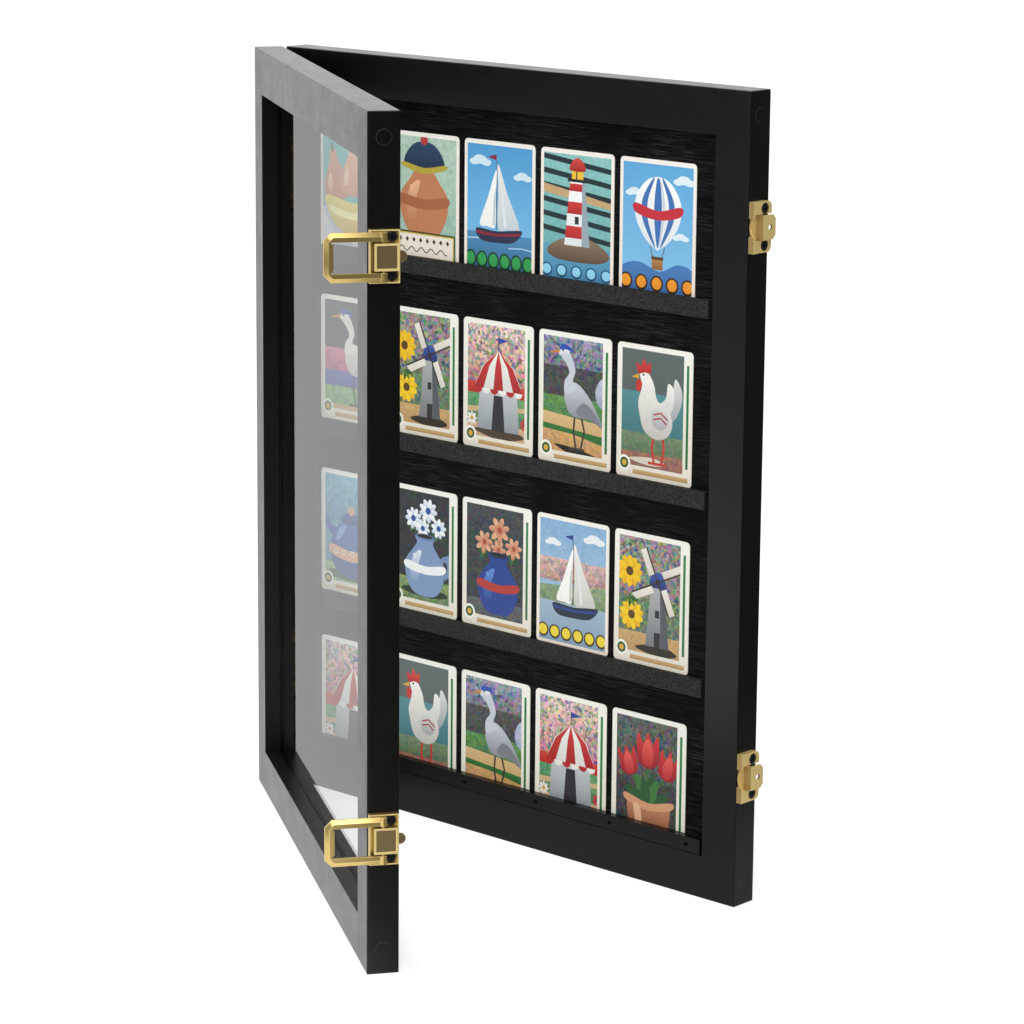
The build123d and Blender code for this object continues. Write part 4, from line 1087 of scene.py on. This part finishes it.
def pale_jug():
    areas = [
        band(0, 24, "#4a6a31", "#6f8f46", 0.35),
        ink(oval(33, 15, 22, 3.6), "#26331c")]
    for x, y, r in ((22, 66, 7.6), (36, 73, 8.4), (46, 62, 7.0),
                    (31, 60, 6.6)):
        areas += leaf_spray(x, y - 2, 8, 250, "#2f5530", "#4c7a43")
        areas += bloom(x, y, r, "#f1f4f8", "#b9cbe2", "#2c4f9c", 9, x)
    areas += pot(33, 13, 1.02, "#7e97bf", "#dbe6f3", "#f0f2f4", "#5f7aa8")
    areas.append(ink(flow((49, 42), (58, 44), (59, 32), (50, 26), (54, 34),
                          (53, 39), (48, 38)), "#7089b4"))
    return "later", "#111417", "#1f262c", 0.1, areas


def rose_vase():
    areas = [
        band(0, 20, "#33383c", "#4a4f52", 0.2)]
    for x, y, r in ((20, 60, 8.0), (34, 70, 9.2), (47, 59, 7.6),
                    (33, 56, 7.0)):
        areas += leaf_spray(x, y - 3, 9, 255, "#1d4a2c", "#2f6b3c")
        areas += bloom(x, y, r, "#e0a98a", "#c07a5c", "#7c2f2a", 7, y)
        areas += [
            ink(oval(x, y, r * 0.46, steps=14), "#cf8c6c"),
            ink(oval(x + 0.4, y + 0.3, r * 0.24, steps=12), "#a9503f")]
    areas += pot(33, 12, 1.0, "#1f3f8f", "#5f8ad4", "#b3362f", "#17306c")
    return "later", "#171c20", "#2a343a", 0.15, areas


def red_tulips():
    areas = [
        band(44, 86, "#22302c", "#33443f", 0.4)]
    cup = flow((-7, 0), (-8.6, 9), (-7.4, 18), (-3.4, 12), (0, 19), (3.4, 12),
               (7.4, 18), (8.6, 9), (7, 0), (0, -3))
    front = flow((-3.4, 0), (-4.2, 8), (0, 15), (4.2, 8), (3.4, 0), (0, -2))
    for x, y, size, turn in ((16, 48, 0.92, 14), (47, 50, 0.96, -12),
                             (31, 56, 1.12, 0)):
        areas.append(ink(stroke(1.8, (31, 26), ((x + 31) / 2, y - 10), (x, y)),
                         "#3c6a35"))
        areas += placed([ink(cup, "#8f1f2a", "#d63a3c"),
                         ink(front, "#b52a32", "#e8625a")], x, y, size, turn)
    areas += leaf_spray(31, 28, 22, 116, "#2c5a34", "#417a41")
    areas += leaf_spray(31, 28, 20, 64, "#2c5a34", "#417a41")
    areas += [
        ink(flow((14, 30), (20, 4), (44, 4), (50, 30), (32, 27)), "#7a4228",
            "#c08460"),
        ink(flow((12, 33), (32, 29), (52, 33), (51, 27.6), (32, 24),
                 (13, 27.6)), "#d39a74"),
        ink(flow((19, 26), (23, 8), (27, 8), (25, 25)), "#e0b18c")]
    return "later", "#1c2523", "#2d3835", 0.2, areas


def card_areas(picture):
    """The inks of a card's border, ground, motif and badge."""
    style, low, high, blots, motif = picture()
    right, top, r = CARD_WIDE, CARD_TALL, CARD_CORNER
    outline = [spot for x, y, start in ((right - r, top - r, 0),
                                        (r, top - r, 90), (r, r, 180),
                                        (right - r, r, 270))
               for spot in oval(x, y, r, start=start, stop=start + 90,
                                steps=5)]
    if style == "early":
        window = block(2.6, 2.6, right - 2.6, top - 3.0)
        border, badge = [ink(outline, "#efe3d6", "#f8f3ee")], []
    else:
        window = block(4.0, 8.6, right - 7.6, top - 3.4)
        border = [ink(outline, "#e6e0d2", "#f6f4ee"),
                  ink(block(right - 5.2, 12.0, right - 3.2, top - 9.0),
                      "#1d6a35", "#2b8046"),
                  ink(block(14.0, 3.0, right - 3.2, 6.0), "#b08b57",
                      "#cdab77")]
        badge = [ink(oval(6.8, 9.4, 5.2, steps=20), "#f4f1e9"),
                 ink(oval(6.8, 9.4, 3.6, steps=16), "#24582f"),
                 ink(oval(6.8, 9.4, 2.0, steps=12), "#d8a83a")]
    return border, [ink(window, low, high, blots)], motif, badge


def card_mesh(name, picture, corner, thickness):
    """One card as a closed sheet. Where inks overlap, the last one shows.

    The print layer holds each corner's colour and how blotted it is.
    """
    border, ground, motif, badge = card_areas(picture)
    areas = border + ground + motif + badge
    window, over = len(border), len(areas) - len(badge)
    points, outlines = [], []
    for area in areas:
        outlines.append(range(len(points), len(points) + len(area[0])))
        points += [Vector(p) for p in area[0]]
    cut = delaunay_2d_cdt(points, [], outlines, 0, JOIN_GAP)
    spots, triangles, sources = cut[0], cut[2], cut[5]
    tints = [(linear(low)[:3], linear(high)[:3], min(y for _, y in outline),
              max(y for _, y in outline), blots)
             for outline, low, high, blots in areas]
    x, y, z = corner
    sheet = bmesh.new()
    print_layer = sheet.loops.layers.float_color.new("print")
    ends = [sheet.verts.new((x + s[0] / 1000, y, z + s[1] / 1000))
            for s in spots]
    for triangle, source in zip(triangles, sources):
        if 0 not in source:
            continue
        shown = max(i for i in source
                    if i < window or i >= over or window in source)
        low, high, foot, top, blots = tints[shown]
        face = sheet.faces.new([ends[i] for i in triangle])
        for loop, i in zip(face.loops, triangle):
            share = min(max((spots[i][1] - foot) / (top - foot), 0.0), 1.0)
            mixed = [a + (b - a) * share for a, b in zip(low, high)]
            loop[print_layer] = mixed + [blots]
    bmesh.ops.delete(sheet, geom=[v for v in sheet.verts if not v.link_faces],
                     context="VERTS")
    rim = [e for e in sheet.edges if len(e.link_faces) == 1]
    made = bmesh.ops.extrude_edge_only(sheet, edges=rim)["geom"]
    for vert in made:
        if isinstance(vert, bmesh.types.BMVert):
            vert.co.y += thickness
    bmesh.ops.holes_fill(
        sheet, edges=[e for e in sheet.edges if len(e.link_faces) == 1])
    bmesh.ops.recalc_face_normals(sheet, faces=sheet.faces)
    board = linear("#ddd6c8")[:3] + [0.0]
    for face in sheet.faces:
        if face.normal.y > -0.5:
            for loop in face.loops:
                loop[print_layer] = board
    mesh = bpy.data.meshes.new(name)
    sheet.to_mesh(mesh)
    sheet.free()
    return mesh


# The ink lies under a thin gloss coat. Crowded grounds break up in blots of
# many inks, and the print's screen gives the flat areas a fine grain.
printed_card, tree = material("coated card, offset printed")
place = node(tree, "TexCoord").outputs["Object"]
printed = node(tree, "Attribute", attribute_name="print")
flat_ink, blotting = printed.outputs["Color"], printed.outputs["Alpha"]
blots = node(tree, "TexVoronoi",
             {"Vector": place, "Scale": 1 / BLOT_SIZE}).outputs["Color"]
blot_tint = node(tree, "SeparateColor", {"Color": blots})
strength = node(tree, "MapRange",
                {"Value": blot_tint.outputs["Red"], "To Min": 0.25,
                 "To Max": 1.65})
shaded = node(tree, "VectorMath", {0: flat_ink, "Scale": strength},
              operation="SCALE")
blotted = node(tree, "Mix",
               {"Factor": blotting, "A": flat_ink, "B": shaded},
               data_type="RGBA")
crowd = node(tree, "Math", {0: blotting, 1: 0.35},
             operation="MULTIPLY")
many_inks = node(tree, "Mix",
                 {"Factor": crowd, "A": blotted, "B": blots},
                 data_type="RGBA")
screen = node(tree, "TexNoise",
              {"Vector": place, "Scale": 1 / SCREEN_SIZE, "Detail": 2.0})
dots = node(tree, "MapRange",
            {"Value": screen, "From Min": 0.3, "From Max": 0.7,
             "To Min": 0.88, "To Max": 1.06})
print_colour = node(tree, "VectorMath",
                    {0: many_inks, "Scale": dots}, operation="SCALE")
coat = node(tree, "BsdfPrincipled",
            {"Base Color": print_colour, "Roughness": 0.34, "IOR": 1.48})
node(tree, "OutputMaterial", {"Surface": coat})

PICTURES = [
    [pears, covered_urn, summer_sloop, striped_lighthouse, fair_balloon],
    [white_wader, sunflower_mill, market_tent, grey_wader, white_rooster],
    [blue_teapot, pale_jug, rose_vase, spring_sloop, sunflower_mill],
    [market_tent, white_rooster, grey_wader, market_tent, red_tulips],
]
for row, pictures in enumerate(PICTURES, 1):
    for column, picture in enumerate(pictures, 1):
        name = f"card_row{row}_column{column}"
        low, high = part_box(name)
        mesh = card_mesh("printed_" + name, picture, low, high[1] - low[1])
        mesh.materials.append(printed_card)
        stand_in("printed_" + name, mesh, name)
